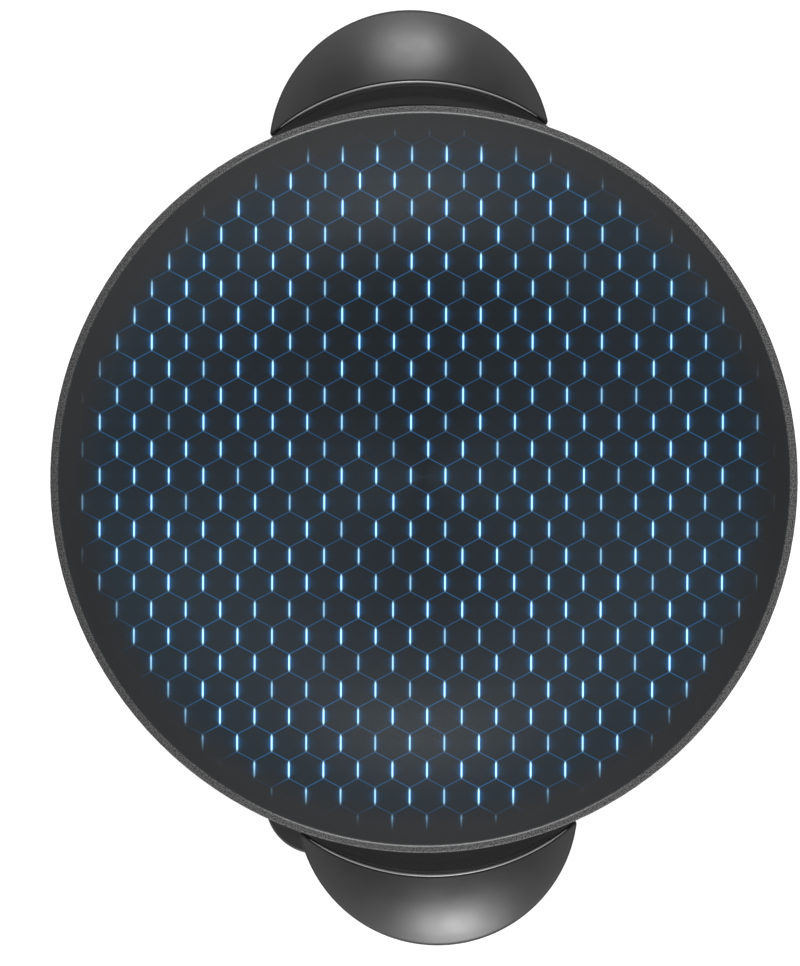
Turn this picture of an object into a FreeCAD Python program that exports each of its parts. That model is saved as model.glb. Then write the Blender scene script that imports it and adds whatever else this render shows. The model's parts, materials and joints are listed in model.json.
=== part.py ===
import FreeCAD, Part

import math
import os

from FreeCAD import Vector

# Electric wok: a cast pan bolted into a moulded cradle with two half-moon handles, and a plug-in
# control probe that carries the thermostat, its dial and the release trigger.
#
# The origin is on the table under the pan's axis. +Z is up, +Y points to the rear handle, -Y to the
# user. The probe and the pan's terminals are drawn in a frame of their own: +X outwards from the
# pan's axis, +Y to the side of the cord, +Z up from the terminal pins. Lengths are in millimetres.

# ---------------------------------------------------------------- pan
RIM_RADIUS = 190.0
RIM_BAND = 3.8
RIM_EDGE_DEPTH = 6.0
RIM_ROUND_OUTER = 1.2
RIM_ROUND_INNER = 0.7
PAN_DEPTH = 98.0
PAN_FLAT_RADIUS = 55.0
PAN_WALL = 3.5
HUB_MARGIN = 4.7
HUB_DEPTH = 3.5
BOSS_SPACING = 22.0
BOSS_RADIUS = 6.5
BOSS_COUNT = 4
SPACER_HEIGHT = 13.6

# ---------------------------------------------------------------- heating element and terminals
ELEMENT_RING_RADIUS = 66.0
ELEMENT_RADIUS = 3.3
ELEMENT_COVER = 2.5
ELEMENT_SIDE_COVER = 4.0
ELEMENT_BEND = 10.0
PIN_SPREAD = 13.0
PIN_RADIUS = 3.0
PIN_TIP_ROUND = 1.2
PIN_REACH = 24.0
BUSH_RADIUS = 5.5
BUSH_LENGTH = 11.0
BUSH_STAND = 3.0
BLOCK_DEPTH = 18.0
BLOCK_MARGIN = 1.5
BLOCK_OVERLAP = 8.0
GUARD_SHEET = 1.2
GUARD_ROUND = 1.8
GUARD_HEADROOM = 1.0
GUARD_STICK_OUT = 2.0
GUARD_SCREW_SPREAD = 8.0
GUARD_SCREW_RISE = 9.5
SHIELD_MARGIN = 8.0
SHIELD_SHEET = 0.8
SHIELD_LIP = 7.0
SHIELD_GAP = 0.6

# ---------------------------------------------------------------- cradle
BASE_GAP = 7.0
BASE_WALL = 3.0
DRUM_GAP = 7.0
DRUM_TAPER = 6.0
DRUM_FOOT_HEIGHT = 8.0
FLOOR_HEIGHT = 12.0
FLOOR_WALL = 3.0
DISH_RISE = 10.3
ARM_HALF_WIDTH = 30.0
ARM_FLARE = 36.5
DRUM_VENTS = 40
DRUM_VENT_WIDTH = 4.0
DRUM_VENT_MARGIN = 5.0
DRUM_VENT_HEIGHT = 20.0
DRUM_VENT_CLEAR_ANGLE = 20.0
FLOOR_VENTS = 16
FLOOR_VENT_WIDTH = 4.0
FLOOR_VENT_INNER = 30.0
FLOOR_VENT_OUTER = 66.0
FOOT_RADIUS = 11.0
FOOT_MARGIN = 4.0
FOOT_TAPER = 1.2
WINDOW_CLEARANCE = 1.5

# ---------------------------------------------------------------- handles
HANDLE_RADIUS = 73.2
HANDLE_REACH = 53.1
HANDLE_DROP = 38.0
HANDLE_SIDE = 7.8
HANDLE_CROWN_SAG = 27.2
HANDLE_ROUND = 5.0
HANDLE_WALL = 2.8
RIDGE_FLATNESS = 54.8
RIDGE_STAND = 12.2
RIDGE_ROUND = 1.4
RECESS_SAG = 24.0
RIM_GAP = 1.8
TONGUE_THICKNESS = 3.5
TONGUE_CLEARANCE = 0.5
PARTING_DROP = 2.0
GRIP_SIDE = 1.0
GRIP_ROUND = 11.0
GRIP_INSET = 5.0
GRIP_BEVEL = 4.0
HANDLE_SCREW_INSET = 16.2
HANDLE_SCREW_ANGLES = (-42.0, 0.0, 42.0)
HANDLE_BOSS_RADIUS = 4.5

# ---------------------------------------------------------------- control probe
PROBE_BEARING = 249.5
NOSE_WALL = 2.0
NOSE_HALF_HEIGHT = 12.5
NOSE_CLEARANCE = 1.0
NOSE_END_GAP = 0.8
TAIL_SIDE_STEP = 2.0
TAIL_STEP = 3.0
TAIL_LENGTH = 16.0
HOUSING_STAND_OFF = 4.0
NECK_SIDE_STEP = 1.0
NECK_TOP = 14.0
NECK_BLEND = 25.0
POD_RADIUS = 28.2
POD_TOP = 30.0
HOUSING_PARTING = 11.0
HOUSING_WALL = 2.2
HOUSING_ROUND = 1.6
SLOPE_START = 35.0
SLOPE_END = 21.0
SENSOR_RADIUS = 2.9
SENSOR_TIP = 58.0
SENSOR_TIP_ROUND = 1.4
SENSOR_CLEARANCE = 0.3
SOCKET_WALL = 0.7
SOCKET_CLEARANCE = 0.3
SOCKET_LENGTH = 21.0
SOCKET_CLOSED_END = 3.5
SOCKET_TAIL_WIDTH = 3.0
SOCKET_TAIL_THICKNESS = 0.8
TERMINAL_BLOCK_DEPTH = 10.0
TERMINAL_BLOCK_MARGIN = 2.0
TERMINAL_BLOCK_HOLE = 1.6
PUSH_ROD_RADIUS = 1.4
HOUSING_BOSS_RADIUS = 4.0
HOUSING_BOSS_OVERLAP = 0.5
HOUSING_SCREW_ANGLES = (-140.5, 140.5, -75.0, 26.0)
GLAND_RADIUS = 6.5
GLAND_TIP_RADIUS = 4.8
GLAND_FLANGE_RADIUS = 8.0
GLAND_FLANGE = 3.0
GLAND_FLANGE_INSET = 7.2
GLAND_COLLAR = 1.5
GLAND_CONE = 18.0
GLAND_BORE = 3.6
GLAND_GROOVES = 4
GLAND_GROOVE_WIDTH = 1.4
LENS_RADIUS = 4.0
LENS_RISE = 9.0
LENS_FLANGE = 1.0
LAMP_RADIUS = 2.4
LAMP_LENGTH = 10.0
LAMP_ROUND = 1.2

# ---------------------------------------------------------------- thermostat
FRAME_SHEET = 1.2
FRAME_HALF_WIDTH = 14.0
FRAME_HALF_LENGTH = 9.0
FRAME_BRIDGE_TOP = 6.0
FRAME_MARGIN = 4.9
FRAME_CLEARANCE = 0.7
GUIDE_GAP = 2.6
GUIDE_HALF_WIDTH = 5.0
GUIDE_TOP = 19.0
SWITCH_SETBACK = 24.6
LEAF_HALF_WIDTH = 4.0
LEAF_THICKNESS = 0.5
LEAF_SPACING = 5.0
MOVING_LEAF_TOP = 20.0
FIXED_LEAF_TOP = 13.0
CONTACT_RADIUS = 2.0
CONTACT_HEIGHT = 1.4
CONTACT_RISE = 9.0
STACK_BLOCK = 4.5
STACK_HALF_WIDTH = 6.0
CAM_BASE_RADIUS = 7.0
CAM_RISE = 2.7
CAM_THICKNESS = 4.0
CAM_HEIGHT = 15.0
CAM_GAP = 0.3
CAM_LEAD_IN = 20.0
FOLLOWER_RADIUS = 1.5
FOLLOWER_HEAD_RADIUS = 2.4
FOLLOWER_HEAD_LENGTH = 2.0
LEAF_GAP = 0.4

# ---------------------------------------------------------------- dial
DIAL_TURN = 270.0
SHAFT_RADIUS = 3.0
SHAFT_END = 2.0
SHAFT_FLAT_DEPTH = 0.8
RUNNING_CLEARANCE = 0.05
BUSH_FLANGE_RADIUS = 7.5
BUSH_FLANGE_HEIGHT = 2.0
BUSH_SLEEVE_RADIUS = 5.0
BUSH_SLEEVE_STAND = 1.5
CLIP_RADIUS = 5.5
CLIP_THICKNESS = 0.8
CLIP_MOUTH = 4.0
KNOB_LIFT = 1.0
KNOB_SKIRT_RADIUS = 18.5
KNOB_SKIRT_HEIGHT = 3.5
KNOB_CAP_RADIUS = 14.5
KNOB_HEIGHT = 13.0
KNOB_WALL = 3.5
KNOB_ROOF = 2.5
KNOB_HUB_RADIUS = 5.5
KNOB_FLUTES = 20
KNOB_FLUTE_RADIUS = 1.5
KNOB_POINTER_WIDTH = 3.0
KNOB_POINTER_HEIGHT = 1.2
KNOB_POINTER_START = -45.0
KNOB_BEVEL = 1.0

# ---------------------------------------------------------------- trigger
TRIGGER_PIVOT_REACH = 6.0
TRIGGER_PIVOT_DROP = 7.5
TRIGGER_PIN_RADIUS = 1.5
TRIGGER_HUB_RADIUS = 4.0
TRIGGER_HALF_WIDTH = 8.0
TRIGGER_SIDE_CLEARANCE = 0.4
TRIGGER_LENGTH = 52.0
TRIGGER_THICKNESS = 3.5
TRIGGER_TIP_GAP = 1.2
TRIGGER_TIP_HEIGHT = 2.6
TRIGGER_TIP_CLEARANCE = 0.5
TRIGGER_PAD_HALF_WIDTH = 11.0
TRIGGER_PAD_LENGTH = 22.0
EAR_THICKNESS = 2.5
EAR_HALF_LENGTH = 4.5
SPRING_REACH = 18.0
SPRING_RADIUS = 3.0
SPRING_WIRE = 0.35
SPRING_TURNS = 4

# ---------------------------------------------------------------- screws
PAN_SCREW_RADIUS = 2.0
PAN_SCREW_HEAD = 4.2
PAN_SCREW_GRIP = 10.0
HANDLE_SCREW_RADIUS = 1.6
HANDLE_SCREW_HEAD = 3.0
HANDLE_SCREW_BITE = 10.0
FOOT_SCREW_RADIUS = 1.5
FOOT_SCREW_HEAD = 2.9
GUARD_SCREW_RADIUS = 1.4
GUARD_SCREW_HEAD = 2.7
GUARD_SCREW_BITE = 7.0
HOUSING_SCREW_RADIUS = 1.2
HOUSING_SCREW_HEAD = 2.4
HOUSING_SCREW_BITE = 9.0
HOUSING_SCREW_SINK = 3.0
HEAD_HEIGHT = 2.0
HEAD_CLEARANCE = 0.3
SLOT_WIDTH = 0.8
SLOT_DEPTH = 0.9

# ---------------------------------------------------------------- worked out from the sizes above
CUT = 1.0  # how far a cutting body runs past the face that it opens
NEAR = 0.01  # how far an edge may lie from the place that it is picked by

RIM_INNER_RADIUS = RIM_RADIUS - RIM_BAND
BOWL_RUN = RIM_INNER_RADIUS - PAN_FLAT_RADIUS
BOWL_RADIUS = (BOWL_RUN**2 + PAN_DEPTH**2) / (2 * PAN_DEPTH)

RIB_HALF_WIDTH = ELEMENT_RADIUS + ELEMENT_SIDE_COVER
HUB_RADIUS = ELEMENT_RING_RADIUS + RIB_HALF_WIDTH + HUB_MARGIN
BOSS_ORBIT = ELEMENT_RING_RADIUS + BOSS_SPACING
SHIELD_RADIUS = BOSS_ORBIT + SHIELD_MARGIN
DRUM_FOOT_RADIUS = SHIELD_RADIUS + DRUM_GAP + BASE_WALL
DRUM_TOP_RADIUS = DRUM_FOOT_RADIUS + DRUM_TAPER
FOOT_ORBIT = DRUM_FOOT_RADIUS - BASE_WALL - FOOT_RADIUS - FOOT_MARGIN

SOCKET_RADIUS = PIN_RADIUS + SOCKET_CLEARANCE + SOCKET_WALL
NOSE_HALF_WIDTH = PIN_SPREAD + SOCKET_RADIUS + NOSE_WALL
TAIL_HALF_WIDTH = NOSE_HALF_WIDTH - TAIL_SIDE_STEP
TAIL_HALF_HEIGHT = NOSE_HALF_HEIGHT - TAIL_STEP
NECK_HALF_WIDTH = NOSE_HALF_WIDTH + NECK_SIDE_STEP
GUARD_HALF_WIDTH = NOSE_HALF_WIDTH + NOSE_CLEARANCE + GUARD_SHEET
GUARD_HALF_HEIGHT = NOSE_HALF_HEIGHT + NOSE_CLEARANCE + GUARD_SHEET
GUARD_MOUTH = DRUM_TOP_RADIUS + GUARD_STICK_OUT
BLOCK_FACE = ELEMENT_RING_RADIUS + BLOCK_DEPTH
BLOCK_HALF_WIDTH = PIN_SPREAD + BUSH_RADIUS + BLOCK_MARGIN
LEG_END = BLOCK_FACE + BUSH_STAND - BUSH_LENGTH

# Heights, from the table up: floor, spacers, shield, element, guard, pan, rim, handles.
FLOOR_TOP = FLOOR_HEIGHT + FLOOR_WALL
SHIELD_TOP = FLOOR_TOP + SPACER_HEIGHT + SHIELD_SHEET
RIB_BOTTOM = SHIELD_TOP + SHIELD_GAP
ELEMENT_HEIGHT = RIB_BOTTOM + ELEMENT_COVER + ELEMENT_RADIUS
GUARD_TOP = ELEMENT_HEIGHT + GUARD_HALF_HEIGHT
BLOCK_RUN = BLOCK_FACE - PAN_FLAT_RADIUS
UNDERSIDE_RISE = BOWL_RADIUS - math.sqrt((BOWL_RADIUS + PAN_WALL) ** 2 - BLOCK_RUN**2)
PAN_FLOOR = GUARD_TOP + GUARD_HEADROOM - UNDERSIDE_RISE
BOWL_CENTRE_HEIGHT = PAN_FLOOR + BOWL_RADIUS
RIM_HEIGHT = PAN_FLOOR + PAN_DEPTH


def bowl_height(radius, offset):
    """Height of the bowl's curve, moved outwards by offset, at this distance from the pan's axis."""
    return BOWL_CENTRE_HEIGHT - math.sqrt((BOWL_RADIUS + offset) ** 2 - (radius - PAN_FLAT_RADIUS) ** 2)


def bowl_reach(height, offset):
    """Distance from the pan's axis of the bowl's curve, moved outwards by offset, at this height."""
    return PAN_FLAT_RADIUS + math.sqrt((BOWL_RADIUS + offset) ** 2 - (BOWL_CENTRE_HEIGHT - height) ** 2)


DISH_INNER_OFFSET = PAN_WALL + BASE_GAP
DISH_OUTER_OFFSET = DISH_INNER_OFFSET + BASE_WALL
DRUM_TOP = bowl_height(DRUM_TOP_RADIUS, DISH_OUTER_OFFSET)
DISH_TOP = DRUM_TOP + DISH_RISE

TONGUE_TOP = RIM_HEIGHT - HANDLE_DROP
TONGUE_BOTTOM = TONGUE_TOP - TONGUE_THICKNESS
HANDLE_PARTING = TONGUE_TOP - PARTING_DROP
HANDLE_CROWN_TOP = HANDLE_PARTING + HANDLE_SIDE + HANDLE_CROWN_SAG
HANDLE_CROWN_RADIUS = (HANDLE_RADIUS**2 + HANDLE_CROWN_SAG**2) / (2 * HANDLE_CROWN_SAG)
HANDLE_CENTRE = RIM_RADIUS + HANDLE_REACH - HANDLE_RADIUS
RIDGE_RADIUS = HANDLE_RADIUS + RIDGE_FLATNESS
RIDGE_CENTRE = RIM_RADIUS + RIDGE_STAND - RIDGE_RADIUS
RECESS_EDGE = TONGUE_TOP + HANDLE_WALL
GRIP_BOTTOM = HANDLE_PARTING - GRIP_SIDE - GRIP_ROUND
HANDLE_INNER_RADIUS = RIM_RADIUS + RIM_GAP
GRIP_INNER_RADIUS = HANDLE_INNER_RADIUS + GRIP_INSET
HANDLE_SCREW_ORBIT = HANDLE_RADIUS - HANDLE_SCREW_INSET
HANDLE_SCREW_PLACES = [
    (
        HANDLE_SCREW_ORBIT * math.sin(math.radians(angle)),
        HANDLE_CENTRE + HANDLE_SCREW_ORBIT * math.cos(math.radians(angle)),
    )
    for angle in HANDLE_SCREW_ANGLES
]

NOSE_FACE = BLOCK_FACE + GUARD_SHEET + HEAD_HEIGHT + NOSE_END_GAP
HOUSING_FACE = GUARD_MOUTH + HOUSING_STAND_OFF
HOUSING_BOTTOM = -NOSE_HALF_HEIGHT
HOUSING_INSIDE_BOTTOM = HOUSING_BOTTOM + HOUSING_WALL
TAIL_END = HOUSING_FACE + TAIL_LENGTH
PIN_END = BLOCK_FACE + PIN_REACH
SOCKET_START = NOSE_FACE + NOSE_END_GAP
SOCKET_END = SOCKET_START + SOCKET_LENGTH
FRAME_FOOT = TAIL_END + TERMINAL_BLOCK_DEPTH + FRAME_CLEARANCE
FIXED_LEAF_REACH = FRAME_FOOT + FRAME_MARGIN + STACK_BLOCK
MOVING_LEAF_REACH = FIXED_LEAF_REACH + LEAF_SPACING
POD_REACH = MOVING_LEAF_REACH + SWITCH_SETBACK
GUIDE_START = MOVING_LEAF_REACH + LEAF_THICKNESS + STACK_BLOCK + GUIDE_GAP
HOUSING_SCREW_ORBIT = POD_RADIUS - HOUSING_WALL - HOUSING_BOSS_RADIUS + HOUSING_BOSS_OVERLAP
HOUSING_SCREW_PLACES = [
    (
        POD_REACH + HOUSING_SCREW_ORBIT * math.cos(math.radians(angle)),
        HOUSING_SCREW_ORBIT * math.sin(math.radians(angle)),
    )
    for angle in HOUSING_SCREW_ANGLES
]

FOLLOWER_TIP = POD_REACH - CAM_BASE_RADIUS - CAM_GAP
FOLLOWER_END = MOVING_LEAF_REACH + LEAF_THICKNESS + LEAF_GAP + CAM_RISE
KNOB_BOTTOM = POD_TOP + KNOB_LIFT
KNOB_TOP = KNOB_BOTTOM + KNOB_HEIGHT
KNOB_HUB_BOTTOM = POD_TOP + BUSH_SLEEVE_STAND + KNOB_LIFT
BUSH_FLANGE_TOP = POD_TOP - HOUSING_WALL
BUSH_FLANGE_BOTTOM = BUSH_FLANGE_TOP - BUSH_FLANGE_HEIGHT

TRIGGER_PIVOT_X = HOUSING_FACE + TRIGGER_PIVOT_REACH
TRIGGER_PIVOT_Z = HOUSING_BOTTOM - TRIGGER_PIVOT_DROP
TRIGGER_ARM_BOTTOM = TRIGGER_PIVOT_Z - TRIGGER_HUB_RADIUS
TRIGGER_ARM_TOP = TRIGGER_ARM_BOTTOM + TRIGGER_THICKNESS
EAR_INNER = TRIGGER_HALF_WIDTH + TRIGGER_SIDE_CLEARANCE
EAR_OUTER = EAR_INNER + EAR_THICKNESS


# ---------------------------------------------------------------- drawing helpers
def box(x0, x1, y0, y1, z0, z1):
    """Box between two corners."""
    return Part.makeBox(x1 - x0, y1 - y0, z1 - z0, Vector(x0, y0, z0))


def level_box(x0, x1, half_width, half_height):
    """Box along the X axis, centred on it."""
    return box(x0, x1, -half_width, half_width, -half_height, half_height)


def edges_along_x(shape):
    """Straight edges that run along X."""
    return [e for e in shape.Edges if e.BoundBox.YLength < NEAR and e.BoundBox.ZLength < NEAR]


def rod(radius, start, end):
    """Cylinder of this radius between two points."""
    start = Vector(*start)
    along = Vector(*end) - start
    return Part.makeCylinder(radius, along.Length, start, along)


def post(radius, x, y, z0, z1):
    """Upright cylinder."""
    return rod(radius, (x, y, z0), (x, y, z1))


def tube(outer, inner, start, end):
    """Cylinder with a hole through it."""
    return rod(outer, start, end).cut(rod(inner, start, end))


def polygon(points):
    """Closed wire through these points."""
    return Part.makePolygon([Vector(*p) for p in points] + [Vector(*points[0])])


def line(a, b):
    """Straight edge between two points."""
    return Part.LineSegment(Vector(*a), Vector(*b)).toShape()


def arc(a, middle, b):
    """Circular edge through three points."""
    return Part.Arc(Vector(*a), Vector(*middle), Vector(*b)).toShape()


def prism(edges_or_wire, z0, z1):
    """Upright prism on an outline drawn at height 0."""
    wire = edges_or_wire if isinstance(edges_or_wire, Part.Wire) else Part.Wire(edges_or_wire)
    solid = Part.Face(wire).extrude(Vector(0, 0, z1 - z0))
    solid.translate(Vector(0, 0, z0))
    return solid


def side_prism(points, half_width):
    """Prism on an outline in the XZ plane, as wide to each side of it."""
    wire = polygon([(x, -half_width, z) for x, z in points])
    return Part.Face(wire).extrude(Vector(0, 2 * half_width, 0))


def spun(edges):
    """Solid of revolution about the Z axis of an outline in the XZ plane."""
    return Part.Face(Part.Wire(edges)).revolve(Vector(0, 0, 0), Vector(0, 0, 1), 360)


def joined(shapes):
    """One solid made of shapes that overlap."""
    return shapes[0].multiFuse(shapes[1:]).removeSplitter()


def bowl_arc(offset, low, high):
    """Edge of the bowl's curve, moved outwards by offset, between two distances from the pan's axis."""
    ends = [(r, 0, bowl_height(r, offset)) for r in (low, (low + high) / 2, high)]
    return arc(*ends)


def round_places(count, orbit, first=0.0):
    """Points evenly spaced on a circle about the Z axis."""
    angles = [math.radians(first + 360.0 * i / count) for i in range(count)]
    return [(orbit * math.cos(a), orbit * math.sin(a)) for a in angles]


def screw(radius, head_radius, head_bottom, tip):
    """Slotted screw on the Z axis, its head at the bottom and its tip at this height."""
    head = post(head_radius, 0, 0, head_bottom, head_bottom + HEAD_HEIGHT)
    shank = post(radius, 0, 0, head_bottom + HEAD_HEIGHT / 2, tip)
    slot = box(
        -head_radius - CUT,
        head_radius + CUT,
        -SLOT_WIDTH / 2,
        SLOT_WIDTH / 2,
        head_bottom - CUT,
        head_bottom + SLOT_DEPTH,
    )
    return joined([head, shank]).cut(slot)


def placed(shape, x=0.0, y=0.0, z=0.0):
    """Copy of a shape moved by these distances."""
    copy = shape.copy()
    copy.translate(Vector(x, y, z))
    return copy


def on_probe(shape):
    """Moves a shape from the probe's frame into the wok's frame."""
    copy = shape.copy()
    copy.rotate(Vector(0, 0, 0), Vector(0, 0, 1), PROBE_BEARING)
    copy.translate(Vector(0, 0, ELEMENT_HEIGHT))
    return copy


def turned_to_front(shape):
    """Copy of a rear part turned half a turn to the front."""
    copy = shape.copy()
    copy.rotate(Vector(0, 0, 0), Vector(0, 0, 1), 180)
    return copy


# ---------------------------------------------------------------- pan and heating
def element_path():
    """Centre line of the heating element: two legs to the pins, two bends and the ring between them."""
    bend_y = PIN_SPREAD + ELEMENT_BEND
    bend_x = math.sqrt((ELEMENT_RING_RADIUS + ELEMENT_BEND) ** 2 - bend_y**2)
    share = ELEMENT_RING_RADIUS / (ELEMENT_RING_RADIUS + ELEMENT_BEND)
    ring_x = bend_x * share
    ring_y = bend_y * share
    bend_middle = (math.atan2(ring_y - bend_y, ring_x - bend_x) - math.pi / 2) / 2
    middle_x = bend_x + ELEMENT_BEND * math.cos(bend_middle)
    middle_y = bend_y + ELEMENT_BEND * math.sin(bend_middle)
    edges = [
        line((LEG_END, PIN_SPREAD, 0), (bend_x, PIN_SPREAD, 0)),
        arc((bend_x, PIN_SPREAD, 0), (middle_x, middle_y, 0), (ring_x, ring_y, 0)),
        arc((ring_x, ring_y, 0), (-ELEMENT_RING_RADIUS, 0, 0), (ring_x, -ring_y, 0)),
        arc((ring_x, -ring_y, 0), (middle_x, -middle_y, 0), (bend_x, -PIN_SPREAD, 0)),
        line((bend_x, -PIN_SPREAD, 0), (LEG_END, -PIN_SPREAD, 0)),
    ]
    return Part.Wire(edges)


def heating_element():
    """Sheathed element, bent to a ring with two straight legs."""
    start = Vector(LEG_END, PIN_SPREAD, 0)
    section = Part.Wire([Part.Circle(start, Vector(1, 0, 0), ELEMENT_RADIUS).toShape()])
    return element_path().makePipeShell([section], True, True)


def pan_blank():
    """Outside of the pan as a filled solid of revolution."""
    edge_bottom = RIM_HEIGHT - RIM_EDGE_DEPTH
    wall_top = edge_bottom - RIM_BAND + PAN_WALL
    wall_reach = bowl_reach(wall_top, PAN_WALL)
    underside = PAN_FLOOR - PAN_WALL
    edges = [
        line((0, 0, underside), (PAN_FLAT_RADIUS, 0, underside)),
        bowl_arc(PAN_WALL, PAN_FLAT_RADIUS, wall_reach),
        line((wall_reach, 0, wall_top), (RIM_RADIUS, 0, edge_bottom)),
        line((RIM_RADIUS, 0, edge_bottom), (RIM_RADIUS, 0, RIM_HEIGHT)),
        line((RIM_RADIUS, 0, RIM_HEIGHT), (0, 0, RIM_HEIGHT)),
        line((0, 0, RIM_HEIGHT), (0, 0, underside)),
    ]
    return spun(edges)


def bowl_inside():
    """Space that the pan's inside surface encloses."""
    edges = [
        line((0, 0, PAN_FLOOR), (PAN_FLAT_RADIUS, 0, PAN_FLOOR)),
        bowl_arc(0, PAN_FLAT_RADIUS, RIM_INNER_RADIUS),
        line((RIM_INNER_RADIUS, 0, RIM_HEIGHT), (RIM_INNER_RADIUS, 0, RIM_HEIGHT + CUT)),
        line((RIM_INNER_RADIUS, 0, RIM_HEIGHT + CUT), (0, 0, RIM_HEIGHT + CUT)),
        line((0, 0, RIM_HEIGHT + CUT), (0, 0, PAN_FLOOR)),
    ]
    return spun(edges)


def rim_edges(shape, radius):
    """Circular edges of this radius at the top of the rim."""
    found = []
    for edge in shape.Edges:
        level = edge.BoundBox.ZMin > RIM_HEIGHT - NEAR
        if level and abs(edge.BoundBox.XMax - radius) < NEAR:
            found.append(edge)
    return found


def terminal_openings():
    """Holes through the guard into the terminal block for the bushes, the sensor rod and the screws."""
    end = BLOCK_FACE + GUARD_SHEET + CUT
    screw_end = BLOCK_FACE - GUARD_SCREW_BITE
    shapes = [rod(SENSOR_RADIUS + SENSOR_CLEARANCE, (SENSOR_TIP - CUT, 0, 0), (end, 0, 0))]
    for side in (-1, 1):
        y = side * PIN_SPREAD
        shapes.append(rod(BUSH_RADIUS, (LEG_END, y, 0), (end, y, 0)))
        y = side * GUARD_SCREW_SPREAD
        shapes.append(rod(GUARD_SCREW_RADIUS, (screw_end, y, GUARD_SCREW_RISE), (end, y, GUARD_SCREW_RISE)))
    return [on_probe(s) for s in shapes]


def pan():
    """Cast pan: bowl and rim, element ring, terminal block and four screw bosses underneath."""
    blank = pan_blank()
    blank = blank.makeFillet(RIM_ROUND_OUTER, rim_edges(blank, RIM_RADIUS))
    hub_bottom = PAN_FLOOR - PAN_WALL - HUB_DEPTH
    hub = post(HUB_RADIUS, 0, 0, hub_bottom, PAN_FLOOR)
    rib = tube(
        ELEMENT_RING_RADIUS + RIB_HALF_WIDTH,
        ELEMENT_RING_RADIUS - RIB_HALF_WIDTH,
        (0, 0, RIB_BOTTOM),
        (0, 0, PAN_FLOOR),
    )
    block = box(
        ELEMENT_RING_RADIUS - BLOCK_OVERLAP,
        BLOCK_FACE,
        -BLOCK_HALF_WIDTH,
        BLOCK_HALF_WIDTH,
        RIB_BOTTOM - ELEMENT_HEIGHT,
        PAN_FLOOR - ELEMENT_HEIGHT,
    )
    bosses = [
        post(BOSS_RADIUS, x, y, SHIELD_TOP, bowl_height(BOSS_ORBIT + BOSS_RADIUS, PAN_WALL / 2))
        for x, y in round_places(BOSS_COUNT, BOSS_ORBIT)
    ]
    body = joined([blank, hub, rib, on_probe(block)] + bosses).cut(bowl_inside())
    pilots = [
        post(PAN_SCREW_RADIUS, x, y, SHIELD_TOP - CUT, SHIELD_TOP + PAN_SCREW_GRIP)
        for x, y in round_places(BOSS_COUNT, BOSS_ORBIT)
    ]
    body = body.cut(pilots + terminal_openings() + [on_probe(heating_element())])
    return body.makeFillet(RIM_ROUND_INNER, rim_edges(body, RIM_INNER_RADIUS))


def element_terminals():
    """Two plug pins at the ends of the element."""
    pins = []
    for side in (-1, 1):
        y = side * PIN_SPREAD
        pin = rod(PIN_RADIUS, (LEG_END, y, 0), (PIN_END, y, 0))
        tip_edges = [e for e in pin.Edges if e.BoundBox.XMin > PIN_END - NEAR]
        pins.append(pin.makeFillet(PIN_TIP_ROUND, tip_edges))
    return on_probe(Part.makeCompound(pins))


def terminal_insulators():
    """Ceramic bushes around the pins where they leave the pan."""
    bushes = []
    for side in (-1, 1):
        y = side * PIN_SPREAD
        bushes.append(tube(BUSH_RADIUS, PIN_RADIUS, (LEG_END, y, 0), (BLOCK_FACE + BUSH_STAND, y, 0)))
    return on_probe(Part.makeCompound(bushes))


def terminal_guard():
    """Sheet shroud around the pins, open towards the probe."""
    outer = level_box(BLOCK_FACE, GUARD_MOUTH, GUARD_HALF_WIDTH, GUARD_HALF_HEIGHT)
    outer = outer.makeFillet(GUARD_ROUND, edges_along_x(outer))
    inside_half_width = GUARD_HALF_WIDTH - GUARD_SHEET
    inside_half_height = GUARD_HALF_HEIGHT - GUARD_SHEET
    inner = level_box(BLOCK_FACE + GUARD_SHEET, GUARD_MOUTH + CUT, inside_half_width, inside_half_height)
    return on_probe(outer.cut(inner)).cut(terminal_openings())


def guard_screws():
    """Two screws that hold the guard to the terminal block."""
    head_bottom = -(BLOCK_FACE + GUARD_SHEET + HEAD_HEIGHT)
    one = screw(GUARD_SCREW_RADIUS, GUARD_SCREW_HEAD, head_bottom, GUARD_SCREW_BITE - BLOCK_FACE)
    one.rotate(Vector(0, 0, 0), Vector(0, 1, 0), -90)
    both = [placed(one, 0, side * GUARD_SCREW_SPREAD, GUARD_SCREW_RISE) for side in (-1, 1)]
    return on_probe(Part.makeCompound(both))


def heat_shield():
    """Bright sheet dish between the element and the cradle's floor."""
    sheet_bottom = SHIELD_TOP - SHIELD_SHEET
    plate = post(SHIELD_RADIUS, 0, 0, sheet_bottom, SHIELD_TOP)
    lip_inner = SHIELD_RADIUS - SHIELD_SHEET
    lip = tube(SHIELD_RADIUS, lip_inner, (0, 0, sheet_bottom), (0, 0, sheet_bottom + SHIELD_LIP))
    notch = box(
        BLOCK_FACE - CUT,
        SHIELD_RADIUS + CUT,
        -GUARD_HALF_WIDTH - CUT,
        GUARD_HALF_WIDTH + CUT,
        -ELEMENT_HEIGHT,
        0,
    )
    holes = [
        post(PAN_SCREW_RADIUS + HEAD_CLEARANCE, x, y, sheet_bottom - CUT, SHIELD_TOP + CUT)
        for x, y in round_places(BOSS_COUNT, BOSS_ORBIT)
    ]
    return joined([plate, lip]).cut([on_probe(notch)] + holes)


def pan_spacers():
    """Ceramic tubes that stand the pan off the cradle's floor."""
    top = SHIELD_TOP - SHIELD_SHEET
    places = round_places(BOSS_COUNT, BOSS_ORBIT)
    inner = PAN_SCREW_RADIUS + HEAD_CLEARANCE
    return Part.makeCompound([tube(BOSS_RADIUS, inner, (x, y, FLOOR_TOP), (x, y, top)) for x, y in places])


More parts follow.
